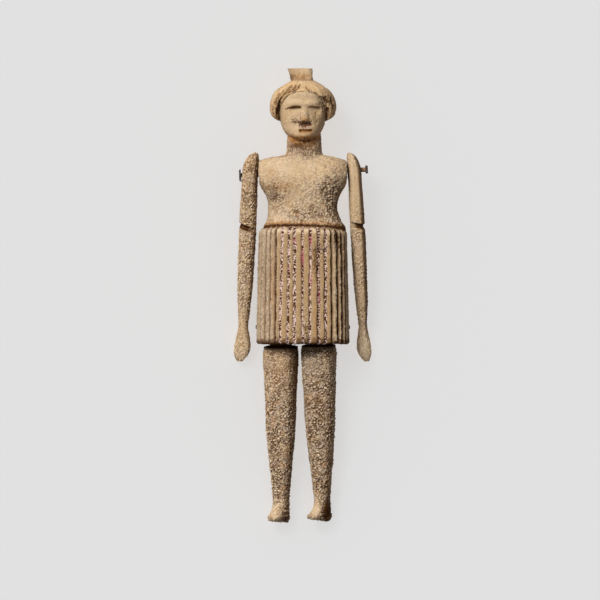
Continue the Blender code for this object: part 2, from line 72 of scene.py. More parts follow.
MM = 0.001
FRONT = math.pi / 2  # the angle of a section's point that faces up from the table

# How square each section is: 2 is an ellipse, and more is squarer
SKIRT_SQUARENESS = 2.7
CHEST_SQUARENESS = 2.9
NECK_SQUARENESS = 2.1
FACE_SQUARENESS = 2.6
ARCH_SQUARENESS = 2.3
HAIR_SQUARENESS = 2.1
TOPKNOT_SQUARENESS = 5
ARM_SQUARENESS = 2.95
THIGH_SQUARENESS = 3
TONGUE_SQUARENESS = 4

# How many rows of points each shape has along it, and how many columns round it
SKIRT_ROWS = 118
HOLLOW_ROWS, HOLLOW_COLUMNS = 30, 140
CHEST_ROWS, CHEST_COLUMNS = 96, 230
NECK_ROWS = 30
FACE_ROWS, FACE_COLUMNS = 96, 180
HAIR_ROWS, HAIR_COLUMNS = 74, 240
TOPKNOT_COLUMNS = 88
ARM_ROWS, ARM_COLUMNS = 415, 170
SHIN_ROWS, LEG_COLUMNS = 362, 236

# Share of the chest's height, then the half width and the half depth as shares of the shoulders' and chest's
CHEST_STATIONS = (
    (-0.12, 0.80, 0.98),
    (-0.02, 0.91, 1.14),
    (0.03, 0.89, 1.13),
    (0.10, 0.82, 1.03),
    (0.22, 0.762, 0.94),
    (0.35, 0.757, 0.92),
    (0.45, 0.805, 0.95),
    (0.55, 0.90, 1.00),
    (0.65, 0.99, 1.00),
    (0.78, 1.05, 0.93),
    (0.87, 1.02, 0.88),
    (0.93, 0.92, 0.84),
    (0.97, 0.68, 0.81),
)

# Share of the head's height above the chin, then the face's half width, its front and the skull's back, as
# shares of the face's half width, the face's front and the head's back
FACE_STATIONS = (
    (-0.02, 0.30, 0.80, 0.20),
    (0.05, 0.60, 0.97, 0.40),
    (0.12, 0.76, 1.01, 0.52),
    (0.22, 0.89, 1.01, 0.64),
    (0.35, 0.97, 1.00, 0.74),
    (0.50, 1.00, 1.01, 0.80),
    (0.65, 0.99, 1.03, 0.80),
    (0.80, 0.94, 1.05, 0.75),
    (1.00, 0.50, 0.60, 0.40),
)

# Share of the head's height, then the hair's half width, front and back, as shares of its largest
HAIR_STATIONS = (
    (0.30, 0.66, 0.70, 0.62),
    (0.335, 0.80, 0.80, 0.76),
    (0.39, 0.92, 0.86, 0.90),
    (0.48, 0.98, 0.93, 0.98),
    (0.56, 1.00, 0.97, 1.00),
    (0.66, 0.97, 1.00, 0.99),
    (0.76, 0.90, 1.00, 0.93),
    (0.85, 0.77, 0.90, 0.80),
    (0.92, 0.59, 0.70, 0.62),
    (1.00, 0.36, 0.42, 0.40),
)

# Share of the arm's length, then its middle, its half width and its half depth, as shares of the largest
ARM_STATIONS = (
    (0.000, 0.62, 0.22, 0.24),
    (0.010, 0.42, 0.50, 0.52),
    (0.030, 0.26, 0.74, 0.76),
    (0.055, 0.12, 0.87, 0.92),
    (0.093, 0.03, 0.93, 1.00),
    (0.160, 0.00, 0.93, 1.00),
    (0.260, 0.00, 1.00, 0.98),
    (0.450, 0.00, 1.00, 0.96),
    (0.550, 0.00, 0.97, 0.93),
    (0.620, 0.00, 0.92, 0.88),
    (0.700, 0.00, 0.83, 0.80),
    (0.770, 0.00, 0.70, 0.70),
    (0.840, 0.00, 0.57, 0.60),
    (0.890, 0.02, 0.84, 0.62),
    (0.935, 0.00, 1.00, 0.62),
    (0.970, -0.12, 0.84, 0.52),
    (1.000, -0.28, 0.36, 0.26),
)

# Share of the leg's length, then its half width, its half depth and how far it lies forward, as shares of
# the thigh's half width and half depth and of the foot's length
LEG_STATIONS = (
    (0.000, 0.97, 0.95, 0.00),
    (0.015, 1.00, 0.99, 0.00),
    (0.150, 0.99, 1.00, 0.00),
    (0.300, 0.92, 0.93, 0.00),
    (0.450, 0.87, 0.86, 0.00),
    (0.600, 0.74, 0.76, -0.01),
    (0.720, 0.62, 0.68, -0.02),
    (0.820, 0.52, 0.58, -0.03),
    (0.880, 0.47, 0.54, -0.02),
    (0.920, 0.49, 0.60, 0.02),
    (0.950, 0.50, 0.71, 0.09),
    (0.985, 0.50, 0.83, 0.17),
    (1.000, 0.42, 0.76, 0.17),
)

# The grooves on the front of the skirt, in millimetres: how far across the figure each lies at half height,
# how far it leans outward at the hem, its width and its depth, and then how much old paint it holds
FRONT_GROOVES = (
    (-11.50, 0.2, 0.6, 0.28, 0.0),
    (-10.05, 0.2, 0.6, 0.32, 0.1),
    (-8.40, 0.2, 0.9, 0.38, 0.1),
    (-6.65, 0.9, 1.1, 0.40, 1.0),
    (-4.40, 0.6, 1.1, 0.40, 0.8),
    (-2.55, 0.1, 1.2, 0.40, 1.0),
    (-0.10, 0.0, 0.9, 0.45, 0.7),
    (2.25, -0.3, 1.0, 0.45, 0.8),
    (4.85, 0.0, 1.2, 0.65, 0.6),
    (6.95, 0.0, 1.2, 0.50, 0.9),
    (8.90, 0.2, 0.9, 0.90, 0.0),
    (10.80, 0.2, 1.2, 0.95, 0.0),
    (12.10, 0.0, 1.4, 0.90, 0.0),
    (13.05, 0.0, 0.8, 0.50, 0.0),
)
BACK_GROOVE = (0.0, 0.6, 0.35, 0.25)  # the same for each groove round the sides and back, but for its place
BACK_GROOVES = 23


def length(name, millimetres, description):
    return FloatProperty(
        name=name, description=description, default=millimetres * MM, precision=5, unit="LENGTH"
    )


def amount(name, default, description):
    return FloatProperty(name=name, description=description, default=default, min=0, max=1, subtype="FACTOR")


def strength(name, default, description):
    return FloatProperty(name=name, description=description, default=default, min=0)


def angle(name, degrees, description):
    return FloatProperty(name=name, description=description, default=math.radians(degrees), subtype="ANGLE")


def colour(name, value, description):
    return FloatVectorProperty(
        name=name, description=description, default=value, size=3, min=0, max=1, subtype="COLOR"
    )


class SkirtSizes(bpy.types.PropertyGroup):
    """Sizes of the skirt, its hollow and the pin that crosses it"""

    length: length("Length", 34.5, "From the hem to the belt")
    hem_width: length("Hem width", 27.9, "Across the hem")
    top_width: length("Top width", 26.4, "Across the top of the skirt")
    depth: length("Depth", 19.6, "From the back of the skirt to its front")
    hem_rounding: length("Hem rounding", 0.8, "Radius of the worn lower edge")
    top_rounding: length("Top rounding", 1.8, "Radius of the worn upper edge")
    rest_flat: length("Rest flat", 0.2, "How deep the back is worn flat where the figure lies on it")
    belt_rise: length("Belt rise", 0.7, "How far the belt line climbs towards the middle of the front")
    wall: length("Wall", 2.7, "Thickness of bone round the hollow")
    hollow_depth: length("Hollow depth", 12.5, "From the hem to the end of the hollow")
    hollow_rounding: length("Hollow rounding", 1.2, "Radius at the end of the hollow")
    pin_height: length("Pin height", 5.0, "From the hem to the hip pin")
    pin_setback: length("Pin setback", 1.2, "How far the hip pin lies behind the middle of the depth")
    pin_diameter: length("Pin diameter", 1.2, "Across the hip pin")
    pin_proud: length("Pin proud", 0.3, "How far each end of the hip pin stands out")


class ChestSizes(bpy.types.PropertyGroup):
    """Sizes of the chest and neck"""

    height: length("Height", 22.2, "From the belt to the root of the neck")
    width: length("Shoulder width", 27.4, "Between the sides that the arms hang against")
    depth: length("Depth", 13.6, "Through the chest")
    shoulder_turn: angle("Shoulder turn", 7, "How far the shaved sides face forward")
    belt_groove: length("Belt groove", 0.4, "Depth of the groove at the belt")
    waist_offset: length("Waist offset", 0.5, "How far the waist lies to the figure's left")
    breast: length("Breast", 0.45, "How far each breast stands out")
    neck_length: length("Neck length", 4.7, "From the shoulders to the chin")
    neck_width: length("Neck width", 10.5, "Across the neck")
    neck_offset: length("Neck offset", 0.4, "How far the neck lies to the figure's left")


class HeadSizes(bpy.types.PropertyGroup):
    """Sizes of the face, hair and topknot"""

    face_height: length("Face height", 13.5, "From the chin to the hairline")
    face_width: length("Face width", 14.1, "Across the cheeks")
    face_front: length("Face front", 7.3, "From the axis to the cheeks")
    face_offset: length("Face offset", 0.5, "How far the nose and brows lie to the figure's left")
    mouth_offset: length("Mouth offset", 0.85, "How far the mouth lies to the figure's left")
    brow: amount("Brow", 0.73, "Height of the brows above the chin, as a share of the face's")
    nose_foot: amount("Foot of the nose", 0.385, "Height of the foot of the nose, as a share of the face's")
    mouth: amount("Mouth", 0.175, "Height of the mouth, as a share of the face's")
    height: length("Head height", 17.6, "From the chin to the crown")
    hair_width: length("Hair width", 20.1, "Across the hair")
    hair_front: length("Hair front", 8.6, "From the axis to the front of the hair")
    lock_spacing: angle("Lock spacing", 27, "Between two locks round the face")
    lock_depth: length("Lock depth", 0.5, "Depth of the cuts between locks")
    roll: length("Roll", 1.6, "Width of the slope where the hair rolls over towards the face")
    face_opening: amount("Face opening", 0.97, "Width of the arch in the hair, as a share of the face's")
    topknot_width: length("Topknot width", 6.8, "Across the foot of the topknot")
    topknot_flare: length("Topknot flare", 0.6, "How much wider the topknot is at its end")
    topknot_depth: length("Topknot depth", 5.2, "Through the foot of the topknot")
    topknot_height: length("Topknot height", 3.6, "From the crown to the end of the topknot")
    topknot_offset: length("Topknot offset", -0.25, "How far the topknot lies to the figure's left")
    topknot_lean: length("Topknot lean", -0.6, "How much further to the figure's left its end lies")


class ArmSizes(bpy.types.PropertyGroup):
    """Sizes of the two arms"""

    length: length("Length", 63.3, "From the top of an arm to its fingertips")
    depth: length("Depth", 7.0, "Through an arm from front to back")
    right_width: length("Right width", 4.9, "Across the figure's right arm")
    left_width: length("Left width", 4.2, "Across the figure's left arm")
    right_top: length("Right top", 6.8, "From the pin up to the end of the right arm")
    left_top: length("Left top", 5.3, "From the pin up to the end of the left arm")
    right_lean: angle("Right lean", 3.5, "How far the right arm stands away from the body")
    left_lean: angle("Left lean", 4.1, "How far the left arm stands away from the body")
    gap: length("Gap", 0.3, "Between an arm and the shoulder")
    right_elbow: amount("Right elbow", 0.355, "Place of the right elbow's groove, as a share of the length")
    left_elbow: amount("Left elbow", 0.345, "Place of the left elbow's groove, as a share of the length")
    groove_width: length("Groove width", 1.5, "Width of the elbow groove")
    groove_depth: length("Groove depth", 1.0, "Depth of the elbow groove")
    groove_slant: FloatProperty(
        name="Groove slant", description="Fall of the elbow groove for its run across the arm", default=0.25
    )


class LegSizes(bpy.types.PropertyGroup):
    """Sizes of the two legs"""

    length: length("Length", 53.2, "From the top of a thigh to the sole")
    width: length("Width", 9.75, "Across a thigh")
    depth: length("Depth", 10.0, "Through a thigh")
    right_drop: length("Right drop", 5.8, "From the hip pin to the top of the right thigh")
    left_drop: length("Left drop", 5.4, "From the hip pin to the top of the left thigh")
    right_x: length("Right place", -6.6, "Place of the right leg across the figure")
    left_x: length("Left place", 4.6, "Place of the left leg across the figure")
    turn: angle("Turn", -14, "How far both thighs turn to the figure's right")
    right_toes: angle("Right toes", -32, "How far the right foot turns")
    left_toes: angle("Left toes", -46, "How far the left foot turns")
    left_lean: angle("Left lean", 1.3, "How far the left leg stands away from the middle")
    foot: length("Foot", 8.6, "From heel to toes")
    tongue_width: length("Tongue width", 6.6, "Across the tongue that hangs on the pin")
    tongue_thickness: length("Tongue thickness", 5.0, "Through the tongue")
    tongue_top: length("Tongue top", 3.0, "From the hip pin up to the end of the tongue")


class PinSizes(bpy.types.PropertyGroup):
    """Sizes of the pin through the shoulders"""

    height: length("Height", 16.9, "From the belt to the pin, midway between the arms")
    slope: angle("Slope", 2.7, "How far the pin climbs to the figure's left")
    diameter: length("Diameter", 1.4, "Across the pin")
    disc_diameter: length("Disc diameter", 3.6, "Across the disc on the right arm")
    disc_thickness: length("Disc thickness", 0.5, "Through the disc")
    knob_diameter: length("Knob diameter", 2.5, "Across the knob on the left arm")
    knob_thickness: length("Knob thickness", 0.7, "Through the knob")
    knob_neck: length("Knob neck", 1.1, "How far the knob stands off its arm")
    head_gap: length("Disc gap", 0.2, "Between the disc and its arm")
    clearance: length("Clearance", 0.3, "Between a pin and the side of its hole")


class Wear(bpy.types.PropertyGroup):
    """How the bone is worn"""

    unevenness: length("Unevenness", 0.10, "Height of the slow waves left by the knife")
    relief: length("Relief", 0.22, "Height of the granular surface where it is roughest")
    lump_spacing: length("Lump spacing", 1.0, "Between the lumps of the roughest surface")
    pit_spacing: length("Pit spacing", 1.05, "Between two large pits")
    small_pit_spacing: length("Small pit spacing", 0.55, "Between two small pits")
    crumbs: length("Crumbs", 0.22, "Height of the crumbs of paint and soil in the grooves")


class BoneColours(bpy.types.PropertyGroup):
    """Colours of the bone, its stains and what is left of its paint, some of which also paint shade and
    light
    """

    honey: colour("Honey", (0.60, 0.415, 0.235), "Most of the bone")
    # cream also paints light: on the skirt's top lip, the topknot's +X side and the left hand
    cream: colour("Cream", (0.76, 0.60, 0.41), "The palest bone, also the rims of pits")
    # drab: greyish brown bone, and also painted shade on the belly, the hem and the skirt's -X side
    drab: colour("Drab", (0.25, 0.19, 0.135), "Greyish brown bone")
    amber: colour("Amber", (0.62, 0.405, 0.20), "The hair")
    # gold also paints shade on the cheeks
    gold: colour("Gold", (0.35, 0.215, 0.092), "Ridges and hair, polished by handling")
    # ochre also paints warm shade under the chin and jaw, under the brows and on the limbs' +X sides
    ochre: colour("Ochre", (0.40, 0.175, 0.05), "Orange-brown stains")
    # umber: dirt in cuts, and painted shade on +X sides, at the hem, in the hollow, under brows and chin
    umber: colour("Umber", (0.058, 0.018, 0.003), "Dirt in cuts and on sheltered sides")
    pit: colour("Pit", (0.080, 0.032, 0.007), "The bottoms of pits")
    clay: colour("Clay", (0.50, 0.27, 0.12), "Orange-tan crust")
    mauve: colour("Mauve", (0.42, 0.31, 0.27), "Mauve-grey crust")
    blush: colour("Blush", (0.72, 0.52, 0.43), "The palest paint in the pleats")
    lilac: colour("Lilac", (0.60, 0.42, 0.43), "Faded paint in the pleats")
    magenta: colour("Magenta", (0.32, 0.03, 0.08), "Fresher paint")


class BronzeColours(bpy.types.PropertyGroup):
    """Colours of the corroded pins"""

    metal: colour("Metal", (0.30, 0.15, 0.07), "Bare coppery metal")
    dark: colour("Dark", (0.035, 0.026, 0.020), "Dark patina")
    crust: colour("Crust", (0.17, 0.16, 0.10), "Greyish olive crust")


class Studio(bpy.types.PropertyGroup):
    """The camera, the lights and the floor"""

    view_width: length("View width", 180, "Width that the camera takes in across the figure")
    camera_height: length("Camera height", 3000, "Height of the camera above the table")
    key: strength("Key", 3.75, "Light on the figure from its upper right")
    key_on_floor: amount("Key on floor", 0.06, "Share of the key light that also falls on the floor")
    floor_light: strength("Floor light", 2.05, "Even light that falls on the floor alone")
    fill: strength("Fill", 0.235, "Light from all round")
    key_softness: angle("Key softness", 22, "Apparent size of the key light")
    key_height: angle("Key height", 51, "How high the key light stands above the table")
    key_side: angle("Key side", 128, "Direction of the key light, counter-clockwise from the figure's left")
    floor: colour("Floor", (0.80, 0.80, 0.80), "Colour of the floor")


class Figurine(bpy.types.PropertyGroup):
    """Every setting of the figurine"""

    skirt: PointerProperty(type=SkirtSizes)
    chest: PointerProperty(type=ChestSizes)
    head: PointerProperty(type=HeadSizes)
    arm: PointerProperty(type=ArmSizes)
    leg: PointerProperty(type=LegSizes)
    pin: PointerProperty(type=PinSizes)
    wear: PointerProperty(type=Wear)
    bone: PointerProperty(type=BoneColours)
    bronze: PointerProperty(type=BronzeColours)
    studio: PointerProperty(type=Studio)


# Curves and sections


def through(stations, shares):
    """Rows of values at these shares, on smooth curves through stations that each start with a share."""
    known = np.array(stations, float)
    at, values = known[:, 0], known[:, 1:]
    slopes = np.gradient(values, at, axis=0)
    shares = np.clip(shares, at[0], at[-1])
    left = np.clip(np.searchsorted(at, shares, side="right") - 1, 0, len(at) - 2)
    span = (at[left + 1] - at[left])[:, None]
    t = (shares - at[left])[:, None] / span
    return (
        values[left] * (2 * t**3 - 3 * t**2 + 1)
        + slopes[left] * span * (t**3 - 2 * t**2 + t)
        + values[left + 1] * (3 * t**2 - 2 * t**3)
        + slopes[left + 1] * span * (t**3 - t**2)
    )


def section(angles, half_width, front, squareness, back=None):
    """X and Z of the points at these angles on a rounded section, as deep behind as in front unless told.

    0 is +X and a quarter turn is the front.
    """
    across, along = np.cos(angles), np.sin(angles)
    depth = np.where(along > 0, front, front if back is None else back)
    total = np.abs(across / half_width) ** squareness + np.abs(along / depth) ** squareness
    reach = total ** (-1 / squareness)
    return reach * across, reach * along


def distance_round(x, z, closeness=1.0):
    """How far along a section's line each of its points lies."""
    return np.concatenate([[0], np.cumsum(np.hypot(np.diff(x), np.diff(z)) * closeness)])


def even_angles(columns, width=1.0, depth=1.0, squareness=2.0, behind=1.0):
    """Angles that space points evenly round a section from its front, or less closely behind."""
    fine = FRONT + np.linspace(0, 2 * math.pi, 1441)
    x, z = section(fine, width, depth, squareness)
    close = behind + (1 - behind) * eased(z / depth, -0.6, 0.2)
    travelled = distance_round(x, z, close[1:])
    return np.interp(np.arange(columns) / columns * travelled[-1], travelled, fine)


def crowded_angles(columns, crowding):
    """Angles round a section from its front, closer together there."""
    even = np.arange(columns) * 2 * math.pi / columns
    return FRONT + even - crowding * np.sin(even)


def ring(x, height, z):
    """One row of a loft, as an array of points. Each of the three is a number or an array."""
    return np.stack(np.broadcast_arrays(x, height, z), axis=-1).astype(float)


def rounded_edge(radius, steps):
    """Pairs of how far in and how far along, round a quarter circle that starts on the end face."""
    turns = [step * math.pi / 2 / steps for step in range(steps + 1)]
    return [(radius * (1 - math.sin(turn)), radius * (1 - math.cos(turn))) for turn in turns]


def bell(distance, width):
    return np.exp(-((distance / width) ** 2))


def eased(value, low, high):
    """Rises smoothly from 0 at low to 1 at high."""
    t = np.clip((value - low) / (high - low), 0, 1)
    return t * t * (3 - 2 * t)


# Random fields


def scattered(cells, seed):
    """A random number from 0 to 1 for each whole-numbered cell, the same on every run."""
    keys = cells.astype(np.int64).astype(np.uint32)
    mixed = keys[:, 0] * np.uint32(0x8DA6B343) + keys[:, 1] * np.uint32(0xD8163841)
    mixed += keys[:, 2] * np.uint32(0xCB1AB31F) + np.uint32(seed * 0x9E3779B9 & 0xFFFFFFFF)
    for shift, factor in ((16, 0x7FEB352D), (15, 0x846CA68B)):
        mixed = (mixed ^ (mixed >> np.uint32(shift))) * np.uint32(factor)
    return (mixed ^ (mixed >> np.uint32(16))) / 0xFFFFFFFF


def scattered_points(cells, seed):
    """Three random numbers for each cell."""
    return np.stack([scattered(cells, seed + axis) for axis in range(3)], axis=1)


def noise(points, size, seed):
    """A smooth random value from about -1 to 1 at each point, with features of this size."""
    at = points / size
    cell = np.floor(at)
    part = at - cell
    ease = part**3 * (part * (part * 6 - 15) + 10)
    total = np.zeros(len(points))
    for corner in itertools.product((0, 1), repeat=3):
        weight = np.prod(np.where(corner, ease, 1 - ease), axis=1)
        slope = scattered_points(cell + corner, seed) * 2 - 1
        total += weight * (slope * (part - corner)).sum(axis=1)
    return 1.7 * total


def layered_noise(points, size, seed, layers=3):
    """Noise of several sizes, each half as large and just over half as strong as the one before."""
    return sum(noise(points, size / 2**layer, seed + 5 * layer) * 0.55**layer for layer in range(layers))


def seeds_nearby(points, spacing, seed):
    """For each cell round each point: the cell, and how far off the one seed in it lies, in spacings."""
    at = points / spacing
    for corner in itertools.product((-1, 0, 1), repeat=3):
        cell = np.floor(at) + corner
        yield cell, np.linalg.norm(at - (cell + scattered_points(cell, seed)), axis=1)


def pits(points, spacing, seed):
    """How deep each point lies in a scatter of round pits: 0 on the surface, 1 at a pit's middle."""
    deepest = np.zeros(len(points))
    for cell, away in seeds_nearby(points, spacing, seed):
        radius = 0.18 + 0.34 * scattered(cell, seed + 3)
        deepest = np.maximum(deepest, 1 - away / radius)
    return eased(deepest, 0, 0.5)


def lumps(points, spacing, seed):
    """Rounded lumps of uneven size: 0 in the creases between them, 1 on top."""
    first, second = np.full(len(points), 9.0), np.full(len(points), 9.0)
    for _, away in seeds_nearby(points, spacing, seed):
        second = np.minimum(second, np.maximum(first, away))
        first = np.minimum(first, away)
    return eased(second - first, 0, 0.45)


# Meshes

MARKS = ("groove", "paint", "hair", "dirt")


def surface(name, rings, **marks):
    """An object with a closed surface through equal rings. Each mark holds a value for each point."""
    rows, columns = len(rings), len(rings[0])
    points = np.concatenate([*rings, [rings[0].mean(axis=0), rings[-1].mean(axis=0)]])
    grid = np.arange(rows * columns).reshape(rows, columns)
    beside = np.roll(grid, -1, axis=1)
    quads = np.stack([grid[:-1], beside[:-1], beside[1:], grid[1:]], axis=-1).reshape(-1, 4)
    first, last = np.full(columns, rows * columns), np.full(columns, rows * columns + 1)
    fans = np.concatenate([
        np.stack([beside[0], grid[0], first], axis=-1),
        np.stack([grid[-1], beside[-1], last], axis=-1),
    ])
    middle = points.mean(axis=0)
    across = np.cross(points[quads[:, 1]] - points[quads[:, 0]], points[quads[:, 3]] - points[quads[:, 0]])
    if (across * (points[quads[:, 0]] - middle)).sum() < 0:
        quads, fans = quads[:, ::-1], fans[:, ::-1]
    data = bpy.data.meshes.new(name)
    data.from_pydata(points.tolist(), [], quads.tolist() + fans.tolist())
    for mark in MARKS:
        values = np.zeros(len(points), np.float32)
        if mark in marks:
            values[: rows * columns] = np.concatenate(marks[mark])
        data.attributes.new(mark, "FLOAT", "POINT").data.foreach_set("value", values)
    made = bpy.data.objects.new(name, data)
    bpy.context.scene.collection.objects.link(made)
    return made


def combine(made, others, operation):
    """Joins the others to the object, or cuts them away from it, and deletes them."""
    before = len(made.data.vertices)
    for other in others:
        modifier = made.modifiers.new(other.name, "BOOLEAN")
        modifier.object, modifier.operation, modifier.solver = other, operation, "MANIFOLD"
    graph = bpy.context.evaluated_depsgraph_get()
    solid = bpy.data.meshes.new_from_object(made.evaluated_get(graph))
    made.modifiers.clear()
    made.data = solid
    for other in others:
        bpy.data.objects.remove(other)
    if len(solid.vertices) in (0, before):
        raise RuntimeError(f"{made.name}: a shape could not be joined or cut")
    return made


def read_points(made):
    """Every point's place up from the hem, its normal and its marks."""
    count = len(made.data.vertices)
    places, normals = np.empty(count * 3), np.empty(count * 3)
    made.data.vertices.foreach_get("co", places)
    made.data.vertices.foreach_get("normal", normals)
    marks = {}
    for mark in MARKS:
        values = np.zeros(count)
        if mark in made.data.attributes:
            made.data.attributes[mark].data.foreach_get("value", values)
        marks[mark] = values
    return places.reshape(-1, 3), normals.reshape(-1, 3), marks


def write_points(made, places, **masks):
    """Moves the points and stores the masks that the material reads."""
    made.data.vertices.foreach_set("co", places.astype(np.float32).ravel())
    for name, values in masks.items():
        found = made.data.attributes.get(name) or made.data.attributes.new(name, "FLOAT", "POINT")
        found.data.foreach_set("value", np.clip(values, 0, 1).astype(np.float32))
    made.data.shade_smooth()
    made.data.update()


def placed(points, location, turns):
    """The points turned by Euler angles and then moved."""
    return points @ np.array(Euler(turns).to_matrix()).T + np.array(location)


def finish_piece(made, node, finish):
    """Gives the piece its finish and seats it in the frame in place of its solid."""
    made.data.materials.clear()
    made.data.materials.append(material(finish))
    made.data.transform(Matrix.Translation(figure_origin()))
    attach(made, "root")
    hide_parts(node)


# Places that several pieces share


def sizes():
    return bpy.context.scene.figurine


def axis_height():
    """Height of the figure's long axis above the table."""
    skirt = sizes().skirt
    return skirt.depth / 2 - skirt.rest_flat


def hip_pin_z():
    return axis_height() - sizes().skirt.pin_setback


def figure_origin():
    """Where the middle of the hem lies on the table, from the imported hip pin."""
    low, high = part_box("hip_pin")
    middle = (low + high) / 2
    return (middle.x, middle.y - sizes().skirt.pin_height, middle.z - hip_pin_z())


def chin_height():
    chest = sizes().chest
    return sizes().skirt.length + chest.height + chest.neck_length


def skirt_half_width(height):
    skirt = sizes().skirt
    return (skirt.hem_width + (skirt.top_width - skirt.hem_width) * height / skirt.length) / 2


def belt_line(x, z):
    """Height of the belt's groove, which climbs towards the middle of the front."""
    skirt = sizes().skirt
    share = np.clip(x / skirt.top_width * 2, -1, 1)
    in_front = eased(z, axis_height(), axis_height() + skirt.depth / 4)
    return skirt.length + in_front * (skirt.belt_rise * (1 - share**2) - 0.3 * MM * share)


def shoulder_plane(z):
    """How far from the middle the shaved side of the shoulders lies, at a height above the table."""
    chest = sizes().chest
    return chest.width / 2 - (axis_height() + chest.depth / 2 - z) * math.tan(chest.shoulder_turn)


def shoulder_pin_at(x):
    """The height up the figure of the shoulder pin's axis, at X."""
    return sizes().skirt.length + sizes().pin.height + x * math.tan(sizes().pin.slope)


# The torso


def skirt_grooves():
    """For each groove by turns from the front: its place round the hem, lean, width, depth and paint.

    After them come angles round the hem, and how far round it each angle lies.
    """
    skirt = sizes().skirt
    fine = FRONT + np.linspace(0, 2 * math.pi, 2881)
    x, z = section(fine, skirt.hem_width / 2, skirt.depth / 2, SKIRT_SQUARENESS)
    travelled = distance_round(x, z)
    quarter = travelled[: len(fine) // 4]
    grooves = []
    for across, lean, *cut in FRONT_GROOVES:
        place = np.interp(abs(across) * MM, -x[: len(quarter)], quarter)
        side = 1 if across <= 0 else -1
        grooves.append((side * place, side * lean * MM, *cut))
    grooves.sort()
    first, last = grooves[-1][0], travelled[-1] + grooves[0][0]
    step = (last - first) / (BACK_GROOVES + 1)
    for index in range(BACK_GROOVES):
        stray = 0.09 * math.sin(5.1 * index)
        grooves.append((first + (index + 1 + stray) * step, *BACK_GROOVE))
    return np.array(grooves), fine, travelled


# The columns of a groove on the front, then of one behind: how far each lies from the groove's middle, as a
# share of its half width, and its share of the depth. After them, how many columns the ridge beside it has.
CARVED_COLUMNS = (
    (((-1, 0.1), (-0.7, 0.75), (-0.3, 1), (0.3, 1), (0.7, 0.75), (1, 0.1)), 5),
    (((-1, 0.1), (-0.4, 1), (0.4, 1), (1, 0.1)), 2),
)
RIDGE_SWELL = 0.04  # how far the middle of a ridge stands out, in millimetres


def skirt_columns(height, grooves, fine, travelled):
    """The angle, the depth and the paint of every column of the skirt at one height."""
    skirt = sizes().skirt
    place, lean, width, depth, paint = grooves.T
    count, up = np.arange(len(place)), height / MM
    wander = 0.05 * np.sin(up * 0.42 + 2.3 * count) + 0.04 * np.sin(up * 1.13 + 5.9 * count)
    middle = place + lean * (0.5 - height / skirt.length) + wander * MM
    half = width * MM / 2 * (1 + 0.16 * np.sin(up * 0.9 + 1.7 * count))
    ends = middle + half
    starts = np.append(middle[1:] - half[1:], middle[0] - half[0] + travelled[-1])
    front = len(FRONT_GROOVES)
    columns = []
    for pleats, (cuts, ridges) in zip((slice(0, front), slice(front, None)), CARVED_COLUMNS):
        spots = [middle[pleats] + side * half[pleats] for side, _ in cuts]
        deep = [share * depth[pleats] * MM for _, share in cuts]
        painted = [share * paint[pleats] for _, share in cuts]
        for ridge in range(ridges):
            share = (ridge + 1) / (ridges + 1)
            spots.append((ends + share * (starts - ends))[pleats])
            deep.append(np.full(len(spots[0]), -RIDGE_SWELL * MM * math.sin(math.pi * share)))
            painted.append(np.zeros(len(spots[0])))
        columns.append([np.stack(values, axis=1).ravel() for values in (spots, deep, painted)])
    columns = np.concatenate(columns, axis=1)
    angles = np.interp(np.mod(columns[0], travelled[-1]), travelled, fine)
    return angles, columns[1], columns[2]


def skirt_surface():
    """The pleated skirt with its worn edges, closed below and above."""
    skirt = sizes().skirt
    top = rounded_edge(skirt.top_rounding, 8)[::-1]
    body = np.linspace(skirt.hem_rounding, skirt.length - skirt.top_rounding, SKIRT_ROWS)[1:-1]
    rows = [(inset * MM, 0.0) for inset in (3.3, 2.5, 1.8, 1.2)]
    rows += rounded_edge(skirt.hem_rounding, 5)
    rows += [(0, height) for height in body]
    rows += [(inset, skirt.length - along) for inset, along in top]
    rows += [(inset * MM, skirt.length) for inset in (2.4, 3.0, 4.0)]
    carved = skirt_grooves()
    rings, groove, paint = [], [], []
    for inset, height in rows:
        angles, deep, painted = skirt_columns(height, *carved)
        fade = float(eased(inset, 2.2 * MM, 0.6 * MM)) if inset else 1.0
        taken = inset + deep * fade
        x, z = section(angles, skirt_half_width(height) - taken, skirt.depth / 2 - taken, SKIRT_SQUARENESS)
        z = axis_height() + np.maximum(z, -axis_height())
        lift = (belt_line(x, z) - skirt.length) * eased(height, skirt.length * 0.6, skirt.length)
        rings.append(ring(x, height + lift, z))
        groove.append(np.clip(deep / (0.35 * MM), 0, 1) * fade)
        paint.append(painted * fade)
    return surface("torso_bone", rings, groove=groove, paint=paint)


def hollow_surface():
    """What is cut out of the skirt from below."""
    skirt = sizes().skirt
    straight = np.linspace(-2 * MM, skirt.hollow_depth - skirt.hollow_rounding, HOLLOW_ROWS)
    rounded = rounded_edge(skirt.hollow_rounding, 4)[::-1]
    rows = [(0, height) for height in straight]
    rows += [(inset, skirt.hollow_depth - along) for inset, along in rounded[1:]]
    angles = even_angles(HOLLOW_COLUMNS)
    rings = []
    for inset, height in rows:
        width = skirt_half_width(max(height, 0)) - skirt.wall - inset
        depth = skirt.depth / 2 - skirt.wall - inset
        x, z = section(angles, width, depth, SKIRT_SQUARENESS)
        rings.append(ring(x, height, axis_height() + z))
    return surface("hollow", rings)


BREASTS = ((-6.3, 50.4), (7.0, 49.6))  # their places across the figure and up from the hem, in millimetres


def chest_relief(x, height):
    """How far the front of the chest stands out."""
    chest = sizes().chest
    breasts = sum(bell(x - place * MM, 4.6 * MM) * bell(height - up * MM, 4.4 * MM) for place, up in BREASTS)
    return chest.breast * breasts


